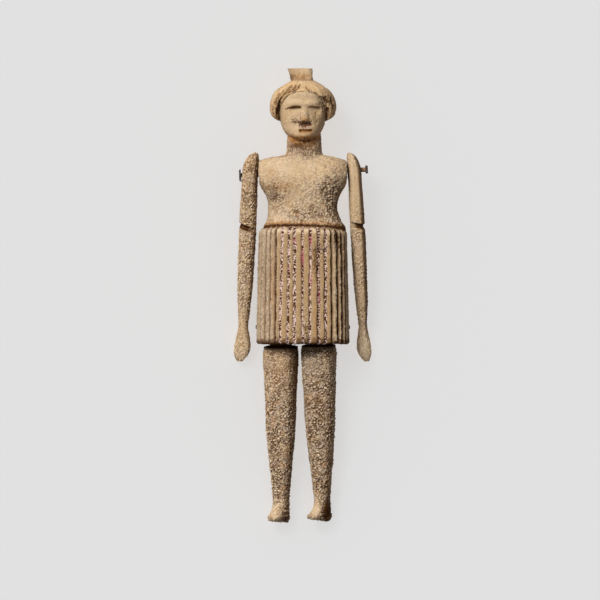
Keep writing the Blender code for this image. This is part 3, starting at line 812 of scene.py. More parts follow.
def chest_surface():
    """The trunk and neck, from inside the skirt up to the inside of the head."""
    chest, skirt = sizes().chest, sizes().skirt
    angles = even_angles(CHEST_COLUMNS, chest.width, chest.depth, CHEST_SQUARENESS, 0.45)
    shares = np.linspace(CHEST_STATIONS[0][0], CHEST_STATIONS[-1][0], CHEST_ROWS)
    rings = []
    for share, (width, depth) in zip(shares, through(CHEST_STATIONS, shares)):
        height = skirt.length + share * chest.height
        half_width, half_depth = chest.width / 2 * width, chest.depth / 2 * depth
        x, z = section(angles, half_width, half_depth, CHEST_SQUARENESS)
        below = eased(belt_line(x, axis_height() + z) + 0.8 * MM - height, 0, 0.5 * MM)
        cut = chest.belt_groove * below * (1 - 0.8 * eased(np.abs(x), 10 * MM, 12 * MM))
        x, z = section(angles, half_width - cut, half_depth - cut, CHEST_SQUARENESS)
        x = x + chest.waist_offset * eased(share, 0.3, 0)
        z = axis_height() + z
        side = shoulder_plane(z)
        z = z + np.where(z > axis_height(), chest_relief(x, height), 0)
        rings.append(ring(np.clip(x, -side, side), height, z))
    neck = chest.neck_width / 2
    root = skirt.length + chest.height
    neck_rings = []
    for share in np.linspace(0, 1.9, NECK_ROWS):
        wide = np.interp(share, (0, 0.2, 1.0, 1.9), (1.08, 1.0, 0.97, 0.9))
        x, z = section(angles, neck * wide, neck * wide * 0.95, NECK_SQUARENESS)
        neck_rings.append(ring(x + chest.neck_offset, root + share * chest.neck_length, axis_height() + z))
    shoulders = rings[-1]
    for step in np.linspace(0, 1, 11)[1:-1]:
        blend = shoulders + (neck_rings[0] - shoulders) * step
        blend[:, 1] = shoulders[:, 1] + (neck_rings[0][:, 1] - shoulders[:, 1]) * step**1.6
        rings.append(blend)
    return surface("chest_and_neck", rings + neck_rings)


def brow_line(away):
    """Height of the brow's lower edge above the chin, at a distance from the middle of the face."""
    head = sizes().head
    peak = head.face_height * 0.19
    return head.face_height * (head.brow - 1.1 * ((away - peak) / head.face_height) ** 2)


def under_nose_wound(x, up):
    """Where the bone under the nose is broken away, and how near its lower edge each point is."""
    head = sizes().head
    third = head.face_height / 3
    at = np.stack([x, up + 0 * x, 0 * x], axis=-1)
    x = x + 0.07 * third * noise(at, 0.8 * MM, seed=31)
    tip = 0.1 * third * bell(x - head.face_offset, 0.28 * third)
    below = head.nose_foot * head.face_height - tip - up + 0.1 * third * noise(at, 0.7 * MM, seed=32)
    away = np.abs(x - head.mouth_offset - 0.02 * third)
    half_width = third * (0.30 + 0.40 * below / third)
    within = eased(away, half_width + 0.08 * third, half_width)
    ragged = eased(below, 0, 0.06 * third) * eased(below, 0.44 * third, 0.33 * third)
    return ragged * within, eased(below, 0.08 * third, 0.4 * third)


def face_relief(x, up):
    """How far the face stands out or sinks in, up from the chin. Its depths are shares of a third of it."""
    head = sizes().head
    third = head.face_height / 3
    away = np.abs(x - head.face_offset)
    own_left = x > head.face_offset
    brow, foot, mouth = (share * head.face_height for share in (head.brow, head.nose_foot, head.mouth))

    down_nose = np.clip((brow - up) / (brow - foot), 0, 1)
    nose_end = eased(up, foot - 0.02 * third, foot + 0.06 * third)
    nose_width = third * (0.28 + 0.24 * down_nose**1.5)
    nose = 0.28 * third * down_nose * nose_end * eased(1.1 * (1 - away / nose_width), 0, 1)

    below_brow = brow_line(away) - up
    under_brow = eased(below_brow, 0, 0.08 * third)
    recovered = eased(up, foot, brow - 0.1 * third)
    beside_nose = eased(away, 0.12 * third, np.where(own_left, 0.8, 0.45) * third)
    reach = np.where(own_left, 1.25, 1.5) * third
    near_nose = np.where(own_left, 0.75, eased(away, 1.1 * third, 0.8 * third) * 0.5 + 0.5)
    in_reach = near_nose * eased(away, reach, reach - 0.4 * third)
    socket = -0.29 * third * under_brow * recovered * beside_nose * in_reach
    ridge = 0.1 * third * bell(below_brow + 0.2 * third, 0.2 * third) * eased(away, reach, 0.7 * third)

    lips = 0.12 * third * bell(up - mouth, 0.4 * third) * bell(away, 0.7 * third)
    slot = eased(1 - np.abs(up - mouth) / (0.1 * third), 0, 0.5)
    slot = slot * eased(0.48 * third - np.abs(x - head.mouth_offset), 0, 0.14 * third)
    broken, low = under_nose_wound(x, up)
    wound = broken * (1 - 0.65 * low)
    chin = 0.12 * third * bell(up - 0.12 * third, 0.25 * third) * bell(away, 0.7 * third)
    return nose + socket + ridge + lips - 0.15 * third * slot - 0.17 * third * wound + chin


def face_surface():
    """The bare head, from under the chin up to inside the hair."""
    head = sizes().head
    angles = crowded_angles(FACE_COLUMNS, 0.5)
    shares = np.linspace(FACE_STATIONS[0][0], 0.82, FACE_ROWS)
    rings = []
    for share, (wide, front, back) in zip(shares, through(FACE_STATIONS, shares)):
        up = share * head.height
        reach = (wide * head.face_width / 2, front * head.face_front, FACE_SQUARENESS, back * axis_height())
        x, z = section(angles, *reach)
        z = z + np.where(z > 0, face_relief(x, up), 0)
        rings.append(ring(x, chin_height() + up, axis_height() + z))
    return surface("face_and_jaw", rings)


FACE_SPRING = 0.56  # where the arch of the hairline starts, as a share of the face's height


def arch_flare(reach):
    """How much wider the arch grows towards the front. Reach is a share of the face's front."""
    return 1 + 0.16 * np.clip((reach - 0.62) / 0.6, 0, 1) ** 2


def face_arch_surface():
    """An arch that clears the hair from in front of the face."""
    head = sizes().head
    half_width = head.face_width / 2 * head.face_opening
    spring = head.face_height * FACE_SPRING
    rise = head.face_height - spring
    turns = np.linspace(0, math.pi, 151)
    across = half_width * np.sign(np.cos(turns)) * np.abs(np.cos(turns)) ** (2 / ARCH_SQUARENESS)
    up = spring + rise * np.abs(np.sin(turns)) ** (2 / ARCH_SQUARENESS)
    across = np.concatenate([[half_width], across, [-half_width]])
    up = np.concatenate([[-1 * MM], up, [-1 * MM]])
    rings = []
    for reach in (0.1, *np.linspace(0.45, 1.3, 22), 2.0):
        flare = arch_flare(reach)
        height = chin_height() + spring + (up - spring) * flare
        rings.append(ring(across * flare, height, axis_height() + head.face_front * reach))
    return surface("arch_of_face", rings, hair=[np.ones(len(across))] * len(rings))


# The bolder cuts in the front of the hair, in millimetres: two places, a width and a depth
HAIR_CUTS = (
    (-3.4, 77.5, -6.0, 74.3, 1.1, 0.75),
    (-5.6, 74.8, -7.3, 72.2, 1.3, 0.75),
    (-0.9, 77.5, -2.9, 75.2, 0.9, 0.60),
    (-2.1, 77.4, -4.3, 75.0, 0.9, 0.65),
    (-5.9, 76.0, -7.6, 73.8, 0.8, 0.50),
    (-7.6, 73.8, -8.4, 71.6, 0.9, 0.55),
    (-7.3, 75.0, -8.9, 71.8, 0.7, 0.45),
    (-7.0, 72.2, -7.5, 69.2, 1.0, 0.45),
    (-8.1, 71.0, -7.8, 67.8, 0.9, 0.40),
    (-9.2, 71.3, -8.9, 68.7, 0.8, 0.40),
    (1.0, 77.1, 2.0, 75.5, 0.8, 0.40),
    (2.1, 76.6, 3.0, 75.5, 0.6, 0.30),
    (3.4, 74.9, 5.4, 73.6, 1.0, 0.40),
    (5.4, 73.6, 7.0, 72.2, 1.2, 0.50),
    (6.9, 74.0, 8.0, 71.5, 0.9, 0.40),
    (8.5, 73.7, 9.1, 70.6, 0.9, 0.40),
    (7.3, 70.6, 7.5, 68.0, 0.9, 0.40),
)


def hair_cuts(x, height, z):
    """How deep the hair is cut between its locks, which sweep from the parting down round the face."""
    head = sizes().head
    points = np.stack([x, height, z], axis=-1)
    up = height - chin_height() - head.face_height * FACE_SPRING
    turn = np.arctan2(np.abs(x), up)
    reach = np.hypot(x, up)
    phase = (turn + 280 * (reach - 8 * MM)) / head.lock_spacing + 0.18 * noise(points, 2.5 * MM, seed=3)
    cut = bell(np.abs(phase - np.round(phase)), 0.2)
    below_cap = eased(height, chin_height() + head.height * 0.97, chin_height() + head.height * 0.88)
    front = eased(z, axis_height() - 1 * MM, axis_height() + 3 * MM)
    behind = bell(np.mod(np.arctan2(x, z - axis_height()) / math.radians(11) + 0.5, 1) - 0.5, 0.22)
    jagged = points + 0.25 * MM * shifted(points, 0.8 * MM, (4, 5, 6))
    bold = strokes(jagged[:, 0], jagged[:, 1], HAIR_CUTS)
    soft = 0.3 * cut * (1 + 0.5 * noise(points, 3 * MM, seed=8)) * below_cap
    combed = 0.4 * head.lock_depth * (1 - front) * behind * below_cap
    return front * (1.25 * bold + head.lock_depth * soft) + combed


def hair_surface():
    """The cap of hair, cleared from the face and rolled over towards it."""
    head = sizes().head
    angles = crowded_angles(HAIR_COLUMNS, 0.3)
    shares = np.linspace(HAIR_STATIONS[0][0], HAIR_STATIONS[-1][0], HAIR_ROWS)
    rings = []
    for share, (wide, front, back) in zip(shares, through(HAIR_STATIONS, shares)):
        reach = (wide * head.hair_width / 2, front * head.hair_front, HAIR_SQUARENESS, back * axis_height())
        x, z = section(angles, *reach)
        rings.append(ring(x, chin_height() + share * head.height, axis_height() + z))
    hair = [np.ones(HAIR_COLUMNS)] * HAIR_ROWS
    made = combine(surface("hair", rings, hair=hair), [face_arch_surface()], "DIFFERENCE")
    places, _, _ = read_points(made)
    x, height, z = places.T
    wide, front, _ = through(FACE_STATIONS, (height - chin_height()) / head.height).T
    across = np.clip(np.abs(x) / (wide * head.face_width / 2), 0, 1)
    face = axis_height() + front * head.face_front * (1 - across**FACE_SQUARENESS) ** (1 / FACE_SQUARENESS)
    rise = head.face_height * (1 - FACE_SPRING)
    over = np.maximum(height - chin_height() - head.face_height * FACE_SPRING, 0) / rise
    beside = np.abs(x / (head.face_width / 2 * head.face_opening))
    outward = (beside**ARCH_SQUARENESS + over**ARCH_SQUARENESS) ** (1 / ARCH_SQUARENESS)
    past = (outward - arch_flare((face - axis_height()) / head.face_front)) * head.face_width / 2
    lip = 0.07 + 0.93 * np.sin(math.pi / 2 * np.clip(past / head.roll, 0, 1))
    places[:, 2] = np.where(z > face, face + (z - face) * lip, z)
    write_points(made, places)
    return made


def topknot_surface():
    """The square knot on the crown, cut flat on top."""
    head = sizes().head
    crown, top = chin_height() + head.height, head.topknot_height
    flaring = zip(np.linspace(0.36, 0.98, 12), np.linspace(0.04, 1.0, 12))
    rows = [(-1.2 * MM, 0.0, 1.0)]
    rows += [(height, 0.0, 1.0) for height in np.linspace(-1.0, 1.0, 9)[1:] * top / 3]
    rows += [(height * top, flare, 1.0) for height, flare in flaring]
    rows += [(top, 0.96, 1.0), (top, 0.2, 0.9), (top, 0.0, 0.6)]
    angles = even_angles(TOPKNOT_COLUMNS)
    rings = []
    for height, flare, shrink in rows:
        grown = flare * head.topknot_flare / 2
        half_width, half_depth = head.topknot_width / 2 + grown, head.topknot_depth / 2 + grown
        x, z = section(angles, half_width * shrink, half_depth * shrink, TOPKNOT_SQUARENESS)
        lean = head.topknot_offset + head.topknot_lean * max(height, 0) / top
        rings.append(ring(x + lean, crown + height, axis_height() + z))
    return surface("topknot", rings, hair=[np.full(TOPKNOT_COLUMNS, 0.5)] * len(rings))


def rod(name, profile, centre, slope=0.0, columns=24):
    """A turned rod whose axis lies along X, from pairs of a place along it and a radius."""
    turns = np.arange(columns) * 2 * math.pi / columns
    rings = []
    for along, radius in profile:
        points = ring(along, radius * np.cos(turns), radius * np.sin(turns))
        rings.append(placed(points, centre, (0, 0, slope)))
    return surface(name, rings)


def shoulder_pin_centre():
    return (0, shoulder_pin_at(0), axis_height())


def hip_pin_centre():
    return (0, sizes().skirt.pin_height, hip_pin_z())


def bore(name, diameter, reach, centre, slope=0.0):
    """What is cut out for a pin, with its clearance."""
    radius = diameter / 2 + sizes().pin.clearance
    return rod(name, [(-reach, radius), (reach, radius)], centre, slope)


def shoulder_bore():
    pin = sizes().pin
    return bore("shoulder_bore", pin.diameter, sizes().chest.width, shoulder_pin_centre(), pin.slope)


def hip_bore():
    skirt = sizes().skirt
    return bore("hip_bore", skirt.pin_diameter, skirt.hem_width, hip_pin_centre())


# Wear

# Where each piece's random fields start
TORSO_SEED, PIN_SEED = 11, 90
RIGHT_ARM_SEED, LEFT_ARM_SEED = 200, 300
RIGHT_LEG_SEED, LEFT_LEG_SEED = 400, 500


def patches(x, height, table):
    """The sum of soft ovals: each has its middle, half width and half height in millimetres, and a value."""
    total = np.zeros(len(x))
    for across, up, wide, tall, value in table:
        total += value * bell(x / MM - across, wide) * bell(height / MM - up, tall)
    return total


def strokes(x, height, table):
    """How deep strokes cut. Each runs between two places and has a width and a depth, in millimetres."""
    total = np.zeros(len(x))
    for x1, h1, x2, h2, width, depth in table:
        dx, dh = x / MM - x1, height / MM - h1
        run = (x2 - x1, h2 - h1)
        along = np.clip((dx * run[0] + dh * run[1]) / (run[0] ** 2 + run[1] ** 2), 0, 1)
        away = np.hypot(dx - along * run[0], dh - along * run[1])
        total += depth * MM * eased(1 - away / width * 2, 0, 0.8)
    return total


# Where the front of the torso is rough: the middle, half width and half height of each patch in millimetres,
# and how rough it is
TORSO_ROUGH = (
    (8.3, 43.5, 3.8, 8.5, 0.62),
    (-8.0, 44.6, 3.6, 3.0, 0.55),
    (-0.5, 39.2, 5.5, 2.4, 0.60),
    (6.0, 48.5, 3.0, 3.0, 0.25),
    (-3.6, 43.4, 2.0, 3.0, -0.30),
    (-2.0, 53.0, 11.0, 3.2, -0.22),
    (1.0, 58.6, 6.0, 2.4, 0.35),
    (4.0, 24.5, 1.2, 3.6, 0.90),
    (10.2, 30.5, 1.6, 2.4, 1.00),
    (-2.7, 4.2, 1.2, 1.6, 0.80),
    (0.9, 4.6, 1.2, 4.5, 0.90),
    (5.2, 28.0, 2.6, 1.6, 0.60),
    (-0.5, 67.5, 3.6, 1.1, 0.50),
    (11.5, 17.0, 2.5, 17.0, 0.35),
    (7.6, 73.0, 2.2, 3.0, 0.35),
    (0.5, 58.0, 6.0, 2.5, 0.30),
    (6.2, 70.5, 1.4, 3.0, 0.25),
    (-1.0, 80.0, 3.6, 0.8, 0.25),
    (0.0, 66.4, 3.8, 0.9, 0.30),
)

# Cracks, chips and nicks on the front of the torso: two places, a width and a depth, all in millimetres. A
# negative depth stands out.
TORSO_STROKES = (
    (4.6, 28.3, 6.1, 27.6, 0.7, 0.45),
    (6.1, 27.6, 7.4, 28.6, 0.6, 0.40),
    (4.8, 29.1, 7.2, 29.4, 0.6, -0.18),
    (3.6, 27.6, 4.6, 20.8, 1.2, 0.22),
    (9.8, 32.8, 10.7, 29.0, 1.4, 0.45),
    (-6.6, 8.1, -5.0, 8.2, 0.4, 0.15),
    (5.0, 36.9, 8.5, 36.9, 0.8, -0.28),
    (8.5, 36.9, 11.6, 35.9, 0.8, -0.25),
    (5.0, 37.7, 10.6, 37.5, 0.5, 0.25),
    (-1.9, 46.4, 0.1, 45.2, 1.1, 0.16),
    (0.1, 45.2, 2.6, 46.9, 1.1, 0.16),
    (-10.5, 46.0, -5.5, 46.6, 1.0, 0.14),
    (-3.2, 67.1, -2.6, 67.0, 0.6, 0.25),
    (-3.0, 66.3, -1.0, 66.2, 0.8, 0.35),
    (3.9, 69.2, 4.1, 67.8, 0.6, 0.20),
    (3.2, 67.8, 3.5, 66.8, 0.6, 0.20),
    (4.3, 66.6, 4.0, 65.9, 0.6, 0.20),
)

# Orange-brown stains on the torso's front, as the rough patches are; the one under the chin is painted shade
TORSO_OCHRE = (
    (-6.5, 47.2, 4.5, 1.4, 0.40),
    (0.9, 60.7, 5.0, 1.5, 0.75),
    (3.6, 24.0, 1.1, 4.0, 0.50),
    (3.9, 7.0, 0.5, 7.0, 0.50),
    (-9.0, 18.0, 0.6, 12.0, 0.35),
    (-0.3, 26.0, 0.6, 8.0, 0.30),
    (-0.6, 80.2, 3.6, 0.8, 0.90),
    (-9.5, 51.0, 2.0, 1.6, 0.25),
)

# The freshest paint on the front of the skirt, in the same way
TORSO_FRESH = (
    (0.0, 26.0, 0.8, 2.0, 1.0),
    (2.3, 30.8, 0.7, 1.4, 0.9),
    (2.2, 19.0, 0.7, 1.2, 0.6),
    (-2.5, 31.0, 0.7, 0.8, 0.7),
    (-4.6, 22.5, 0.7, 0.9, 0.6),
    (4.9, 14.0, 0.7, 2.0, 0.5),
)

# Dirt on the front of the torso, in the same way, with painted shade under the chin, round the topknot and
# on the +X side
TORSO_DIRT = (
    (-8.1, 70.4, 1.2, 2.6, 0.20),
    (0.5, 57.2, 6.0, 1.6, 0.30),
    (7.6, 73.0, 1.8, 1.4, 0.12),
    (9.2, 71.5, 0.9, 3.5, 0.10),
    (-2.0, 66.3, 1.3, 0.4, 0.70),
    (-2.9, 67.0, 0.6, 0.3, 0.60),
    (3.7, 67.6, 0.6, 1.4, 0.35),
    (0.3, 79.1, 3.6, 0.25, 0.60),
    (-1.1, 59.4, 3.2, 1.1, 0.80),
    (-3.5, 79.9, 0.6, 1.0, 0.60),
    (3.0, 79.3, 0.6, 0.5, 0.60),
    (10.2, 43.0, 1.2, 8.0, 0.12),
    (-9.0, 45.0, 1.6, 3.5, 0.30),
    (12.5, 18.0, 1.6, 20.0, 0.40),
    (10.0, 31.0, 1.3, 2.6, 0.65),
    (-11.4, 15.0, 0.5, 14.0, 0.25),
    (3.6, 24.5, 0.6, 3.5, 0.35),
)


def shifted(points, size, seeds):
    """Three values of noise for each point, to move it by."""
    return np.stack([noise(points, size, seed) for seed in seeds], axis=1)


def wear_bone(made, seed, rough, pale=0.0, **masks):
    """Pits and roughens a piece and stores its masks. Rough and each mask hold a value for every point."""
    wear = sizes().wear
    places, normals, marks = read_points(made)
    groove, paint = marks["groove"], marks["paint"]
    at = places + 0.22 * MM * shifted(places, 0.7 * MM, (seed, seed + 7, seed + 14))

    crust = lumps(at * (1, 1.3, 1), wear.lump_spacing, seed + 55)
    grain = noise(at, 0.55 * MM, seed + 50) + 1.1 * noise(at, 0.36 * MM, seed + 53)
    large = pits(at, wear.pit_spacing, seed + 60) * eased(noise(places, 2.4 * MM, seed + 65), -0.7, 0.1)
    small = pits(at, wear.small_pit_spacing, seed + 70)
    varied = 0.50 + 0.68 * eased(noise(places, 3.4 * MM, seed + 66), -0.5, 0.4)
    relief = varied * (1.2 * (crust - 0.6) + 0.75 * grain - 1.3 * large - 0.5 * small)

    ground = (0.12 + 0.88 * rough) * (1 - groove)
    crumbs = layered_noise(at, 0.62 * MM, seed + 80, 2)
    out = wear.unevenness * noise(places, 6 * MM, seed + 40) * (1 - 0.6 * groove)
    out += 0.09 * MM * rough * noise(places, 2.2 * MM, seed + 45)
    out += ground * wear.relief * relief + groove * paint * wear.crumbs * (crumbs + 0.5)
    places = places + normals * out[:, None]
    places[:, 2] = np.maximum(places[:, 2], 0)
    write_points(
        made,
        places,
        pit=eased(-relief, 0.12, 0.68) * ground**1.2,
        # the rim mask holds raised grain, and the pale mask with its painted light
        rim=eased(relief, 0.22, 0.60) * ground + pale * (1 - groove),
        rough=rough,
        **masks,
    )


def face_masks(x, height, front):
    """Dirt, ochre and painted shade on the face, and the dark part and the crumbs of its broken place."""
    head = sizes().head
    third = head.face_height / 3
    up = height - chin_height()
    away = np.abs(x - head.face_offset)
    own_left = x > head.face_offset
    foot, mouth = head.nose_foot * head.face_height, head.mouth * head.face_height
    on_face = front * (up < head.face_height) * (up > -0.4 * third) * (away < 1.5 * third)

    reach = np.where(own_left, 1.2, np.where(away < 0.85 * third, 1.5, 1.3)) * third
    strong = np.where(own_left, 0.5, 0.45 + 0.55 * eased(away, 1.0 * third, 0.8 * third))
    # painted shadow under the overhang of the brows
    crease = strong * bell(brow_line(away) - up - 0.05 * third, 0.08 * third)
    crease = crease * eased(away, reach, reach - 0.3 * third) * eased(away, 0.15 * third, 0.3 * third)

    mouth_end = eased(np.abs(x - head.mouth_offset), 0.5 * third, 0.42 * third)
    in_mouth = bell(up - mouth, 0.12 * third) * mouth_end
    # painted shade along the top of the mouth's slot
    upper_lip = bell(up - mouth - 0.1 * third, 0.05 * third) * mouth_end
    nose_tip = bell(up - foot - 0.1 * third, 0.14 * third) * bell(away, 0.32 * third)
    # painted warm shade along the underside of the jaw
    lower_jaw = bell(up - (0.22 * third * away**2 / third**2 - 0.08 * third), 0.2 * third)
    broken, low = under_nose_wound(x, up)
    return (
        on_face * (0.9 * crease + 0.4 * in_mouth + 0.4 * upper_lip),
        on_face * (1.2 * in_mouth + 1.0 * nose_tip + 0.8 * lower_jaw + 0.9 * crease + 0.5 * broken),
        on_face * broken * (0.95 - 0.25 * low),
        on_face * broken * low,
    )


def wear_torso(made):
    """Cuts the locks, chips and cracks of the torso and works out where it is rough, dirty or polished."""
    places, normals, marks = read_points(made)
    x, height, z = places.T
    groove, hair = marks["groove"], marks["hair"]
    crown = chin_height() + sizes().head.height

    # the parts
    front = eased(normals[:, 2], -0.1, 0.4)
    # painted shade: faces turned down inside the hollow and under the hem are darkened
    inside = eased(-(normals[:, 1]) - 0.5, 0, 0.2) * (height < 14 * MM)
    on_skirt = eased(height, 35.2 * MM, 34.2 * MM)
    on_head = eased(height, chin_height(), chin_height() + 1 * MM)
    on_face, on_hair, on_chest = on_head * (1 - hair), on_head * hair, (1 - on_skirt) * (1 - on_head)
    ridge = on_skirt * (1 - groove)
    # the skirt's -X side is rougher and drabber: greyer bone, and painted shade
    left_of_skirt = ridge * eased(x, -6 * MM, -10 * MM)
    # painted shade: the lower chest and belly are made drabber
    low_chest = eased(height, 52 * MM, 46 * MM)
    face_dirt, face_ochre, wound, crumbs = face_masks(x, height, front)

    rough = 0.38 * on_chest + 0.14 * on_skirt + 0.07 * on_face + 0.2 * on_hair + 0.25 * (1 - front)
    rough = rough + front * patches(x, height, TORSO_ROUGH) + 0.22 * left_of_skirt + 0.3 * wound
    rough = np.clip(rough + 0.4 * on_skirt * eased(height, 2 * MM, 0.5 * MM), 0, 1)
    worst = eased(rough, 0.5, 0.9)

    cuts = hair_cuts(x, height, z) * (hair > 0.9)
    cut = np.clip(cuts / sizes().head.lock_depth, 0, 1)
    places = places - normals * (cuts + front * strokes(x, height, TORSO_STROKES))[:, None]
    write_points(made, places, groove=groove + wound, paint=marks["paint"] + 0.65 * crumbs)

    # the edges
    jagged = 0.35 * MM * noise(np.stack([x, height, z], axis=-1), 0.9 * MM, seed=12)
    past_belt = height - belt_line(x, z)
    in_belt = on_skirt + on_chest * (np.abs(x) < 14 * MM)
    belt = in_belt * 1.3 * bell(past_belt + jagged - 0.3 * MM, 0.5 * MM)
    belt_ochre = in_belt * bell(past_belt + jagged - 1.1 * MM, 0.45 * MM)
    # painted highlight: the skirt's rounded top under the belt is made paler, as if lit
    lip = on_skirt * front * bell(past_belt + 1.3 * MM + jagged, 0.7 * MM)
    # the hem is darker and drabber: dirt, and painted shade on its down-turned edge
    hem = eased(height + 3 * jagged, 2.2 * MM, 0.6 * MM)
    # painted warm shade: the neck just under the chin is made ochre
    under_chin = bell(height - chin_height() + 0.6 * MM, 1.6 * MM) * front
    under_chin = under_chin * eased(np.abs(x), 4.6 * MM, 2.6 * MM)
    # painted shade: a dark line under the edge of the hair, towards -X
    hairline = (hair > 0.02) * (hair < 0.98) * (height > chin_height()) * eased(x, 1 * MM, -4 * MM)

    # the painted shade and light, the polish and the dirt
    # painted shade: faces turned towards +X, away from the key light, are darkened below the crown
    sheltered = eased(normals[:, 0], 0.25, 0.95) * eased(height, crown, crown - 0.5 * MM)
    # painted shade: the cheeks are made a darker gold through the worn mask
    cheeks = bell(height - chin_height() - 6 * MM, 3 * MM)
    on_black = eased(x, 8.3 * MM, 9.5 * MM) * ridge
    # the topknot is paler, and its +X side, turned from the key light, is painted lighter
    on_knot = (height > crown + 1 * MM) * (0.2 + 0.8 * eased(normals[:, 0], 0.3, 0.9))
    polished = 0.95 * ridge * eased(x, -11 * MM, -6 * MM) * (1 - 0.6 * on_black) * (1 - lip)
    dirt = front * patches(x, height, TORSO_DIRT) * (1 - 0.5 * groove)
    wear_bone(
        made,
        TORSO_SEED,
        rough,
        pale=0.9 * lip + 0.3 * on_black * front + on_knot,
        stain=belt + 0.7 * hem + 0.5 * inside + 0.15 * (1 - front) + 0.42 * cut**1.5 + 0.25 * hairline
        + 0.35 * sheltered + face_dirt + dirt,
        ochre=front * patches(x, height, TORSO_OCHRE) + 0.5 * under_chin + 0.9 * belt_ochre + 0.4 * cut
        + face_ochre,
        worn=polished + 0.4 * on_hair * cut + on_face * (0.1 + 0.4 * cheeks),
        fresh=front * patches(x, height, TORSO_FRESH),
        drab=0.75 * left_of_skirt + 0.17 * on_face + (0.15 + 0.12 * low_chest) * on_chest * front
        + 0.35 * on_chest * worst + 0.6 * hem,
    )


# The arms and legs


def arm_shape(width, side, elbow):
    """The rings of an arm that hangs from its top at Y 0, and the dirt and painted shade on them.

    Its flat inner side faces the body, which is towards -side on X.
    """
    arm = sizes().arm
    half_width, half_depth = width / 2, arm.depth / 2
    angles = even_angles(ARM_COLUMNS, half_width, half_depth, ARM_SQUARENESS, 0.7)
    inward = -side * np.cos(angles)
    squareness = ARM_SQUARENESS + 0.65 * np.tanh(inward * 4)
    outer = np.clip(0.9 - inward, 0, 1)
    in_front = 0.4 + 0.6 * eased(np.sin(angles), 0.1, 0.8)
    ends = 0.5 - 0.5 * np.cos(np.linspace(0, math.pi, 25)[:13])
    body = np.linspace(0.055, 0.965, ARM_ROWS)[1:]
    shares = np.concatenate([ends * 0.055 / 0.5, body, 1 - ends[::-1] * 0.035 / 0.5])
    rings, dirt = [], []
    for share, (middle, wide, deep) in zip(shares, through(ARM_STATIONS, shares)):
        x, z = section(angles, half_width * wide, half_depth * deep, squareness)
        past = (share - elbow) * arm.length + 0.3 * MM - arm.groove_slant * x
        reach = np.where(past < 0, 0.3, 0.8) * arm.groove_width
        cut = arm.groove_depth * outer * in_front * np.clip(1.4 * (1 - np.abs(past) / reach), 0, 1)
        x, z = section(angles, half_width * wide - cut, half_depth * deep - cut, squareness)
        rings.append(ring(x - side * middle * half_width, -share * arm.length, z))
        # dirt in the elbow's groove, which also paints the shade under its upper wall
        dirt.append(np.clip(1.4 * outer, 0, 1) * eased(np.abs(past - 0.3 * MM), 1.0 * MM, 0.7 * MM))
    return rings, dirt


def resting_drop(points, turn, lean, pivot_z):
    """How far a limb swings down about its pin, in radians, until its lowest point is on the table."""
    low, high = 0.0, math.radians(40)
    for _ in range(30):
        middle = (low + high) / 2
        if placed(points, (0, 0, pivot_z), (middle, turn, lean))[:, 2].min() > 0:
            low = middle
        else:
            high = middle
    return low


def arm_rings(side, width, top, lean, elbow):
    """The rings of an arm on the shoulder pin, their dirt and painted shade, and where its outer face lies
    beside the pin.
    """
    arm, chest = sizes().arm, sizes().chest
    rings, dirt = arm_shape(width, side, elbow)
    rings = [points + (0, top, 0) for points in rings]
    turn, lean = side * chest.shoulder_turn, side * lean
    points = np.concatenate(rings)
    drop = resting_drop(points[::3], turn, lean, axis_height())
    swung = placed(points, (0, 0, 0), (drop, turn, lean))
    overlap = shoulder_plane(swung[:, 2] + axis_height()) - side * swung[:, 0]
    x = side * (overlap.max() + arm.gap)
    outer = x + side * (side * swung[np.abs(swung[:, 1]) < arm.depth / 2, 0]).max()
    location = (x, shoulder_pin_at(x), axis_height())
    return [placed(points, location, (drop, turn, lean)) for points in rings], dirt, outer


def both_arms():
    arm = sizes().arm
    right = arm_rings(-1, arm.right_width, arm.right_top, arm.right_lean, arm.right_elbow)
    left = arm_rings(1, arm.left_width, arm.left_top, arm.left_lean, arm.left_elbow)
    return right, left


def leg_rings(x, drop, toe_turn, lean):
    """The rings of a leg on the hip pin, with its tongue, flat top, shaft and foot, and the painted shade on
    them.
    """
    leg = sizes().leg
    angles = even_angles(LEG_COLUMNS, leg.width, leg.depth, THIGH_SQUARENESS, 0.6)
    rounding = leg.tongue_thickness / 2
    rings = []
    for share in np.sin(np.linspace(0.12, math.pi / 2, 8)):
        x_at, z = section(angles, leg.tongue_width / 2, rounding * share, TONGUE_SQUARENESS)
        rings.append(ring(x_at, leg.tongue_top - rounding * (1 - math.sqrt(1 - share**2)), z))
    x_at, z = section(angles, leg.tongue_width / 2, rounding, TONGUE_SQUARENESS)
    for height in np.linspace(leg.tongue_top - rounding, -drop, 16)[1:]:
        rings.append(ring(x_at, height, z))
    tongue_root = rings[-1]
    shin = np.linspace(0.02, 0.985, SHIN_ROWS)
    shares = np.concatenate([[0.0, 0.003, 0.008, 0.014], shin, [0.992, 0.998, 1.0]])
    shaft = []
    for share, (wide, deep, forward) in zip(shares, through(LEG_STATIONS, shares)):
        turn = leg.turn + (toe_turn - leg.turn) * max(0, (share - 0.88) / 0.12)
        x_at, z = section(angles, leg.width / 2 * wide, leg.depth / 2 * deep, 3.3 - 0.5 * share)
        z = z + forward * leg.foot
        lift = 0.22 * max(0, (share - 0.9) / 0.1)
        points = ring(x_at, -drop - share * leg.length + np.maximum(z, 0) * lift, z)
        shaft.append(placed(points, (0, 0, 0), (0, turn, 0)))
    for step in np.linspace(0, 1, 9)[1:-1]:
        rings.append(tongue_root + (shaft[0] - tongue_root) * step)
    hidden = len(rings)
    sole = shaft[-1]
    rings += shaft + [sole + (sole.mean(axis=0) - sole) * step for step in np.linspace(0, 1, 14)[1:-1]]
    swing = resting_drop(np.concatenate(rings)[::3], 0, lean, hip_pin_z())
    location = (x, sizes().skirt.pin_height, hip_pin_z())
    # painted shade: the tongue and the top of the thigh, hidden under the skirt, are darkened
    dirt = [np.full(len(angles), float(eased(count - hidden, 5, -1))) for count in range(len(rings))]
    return [placed(points, location, (swing, 0, lean)) for points in rings], dirt
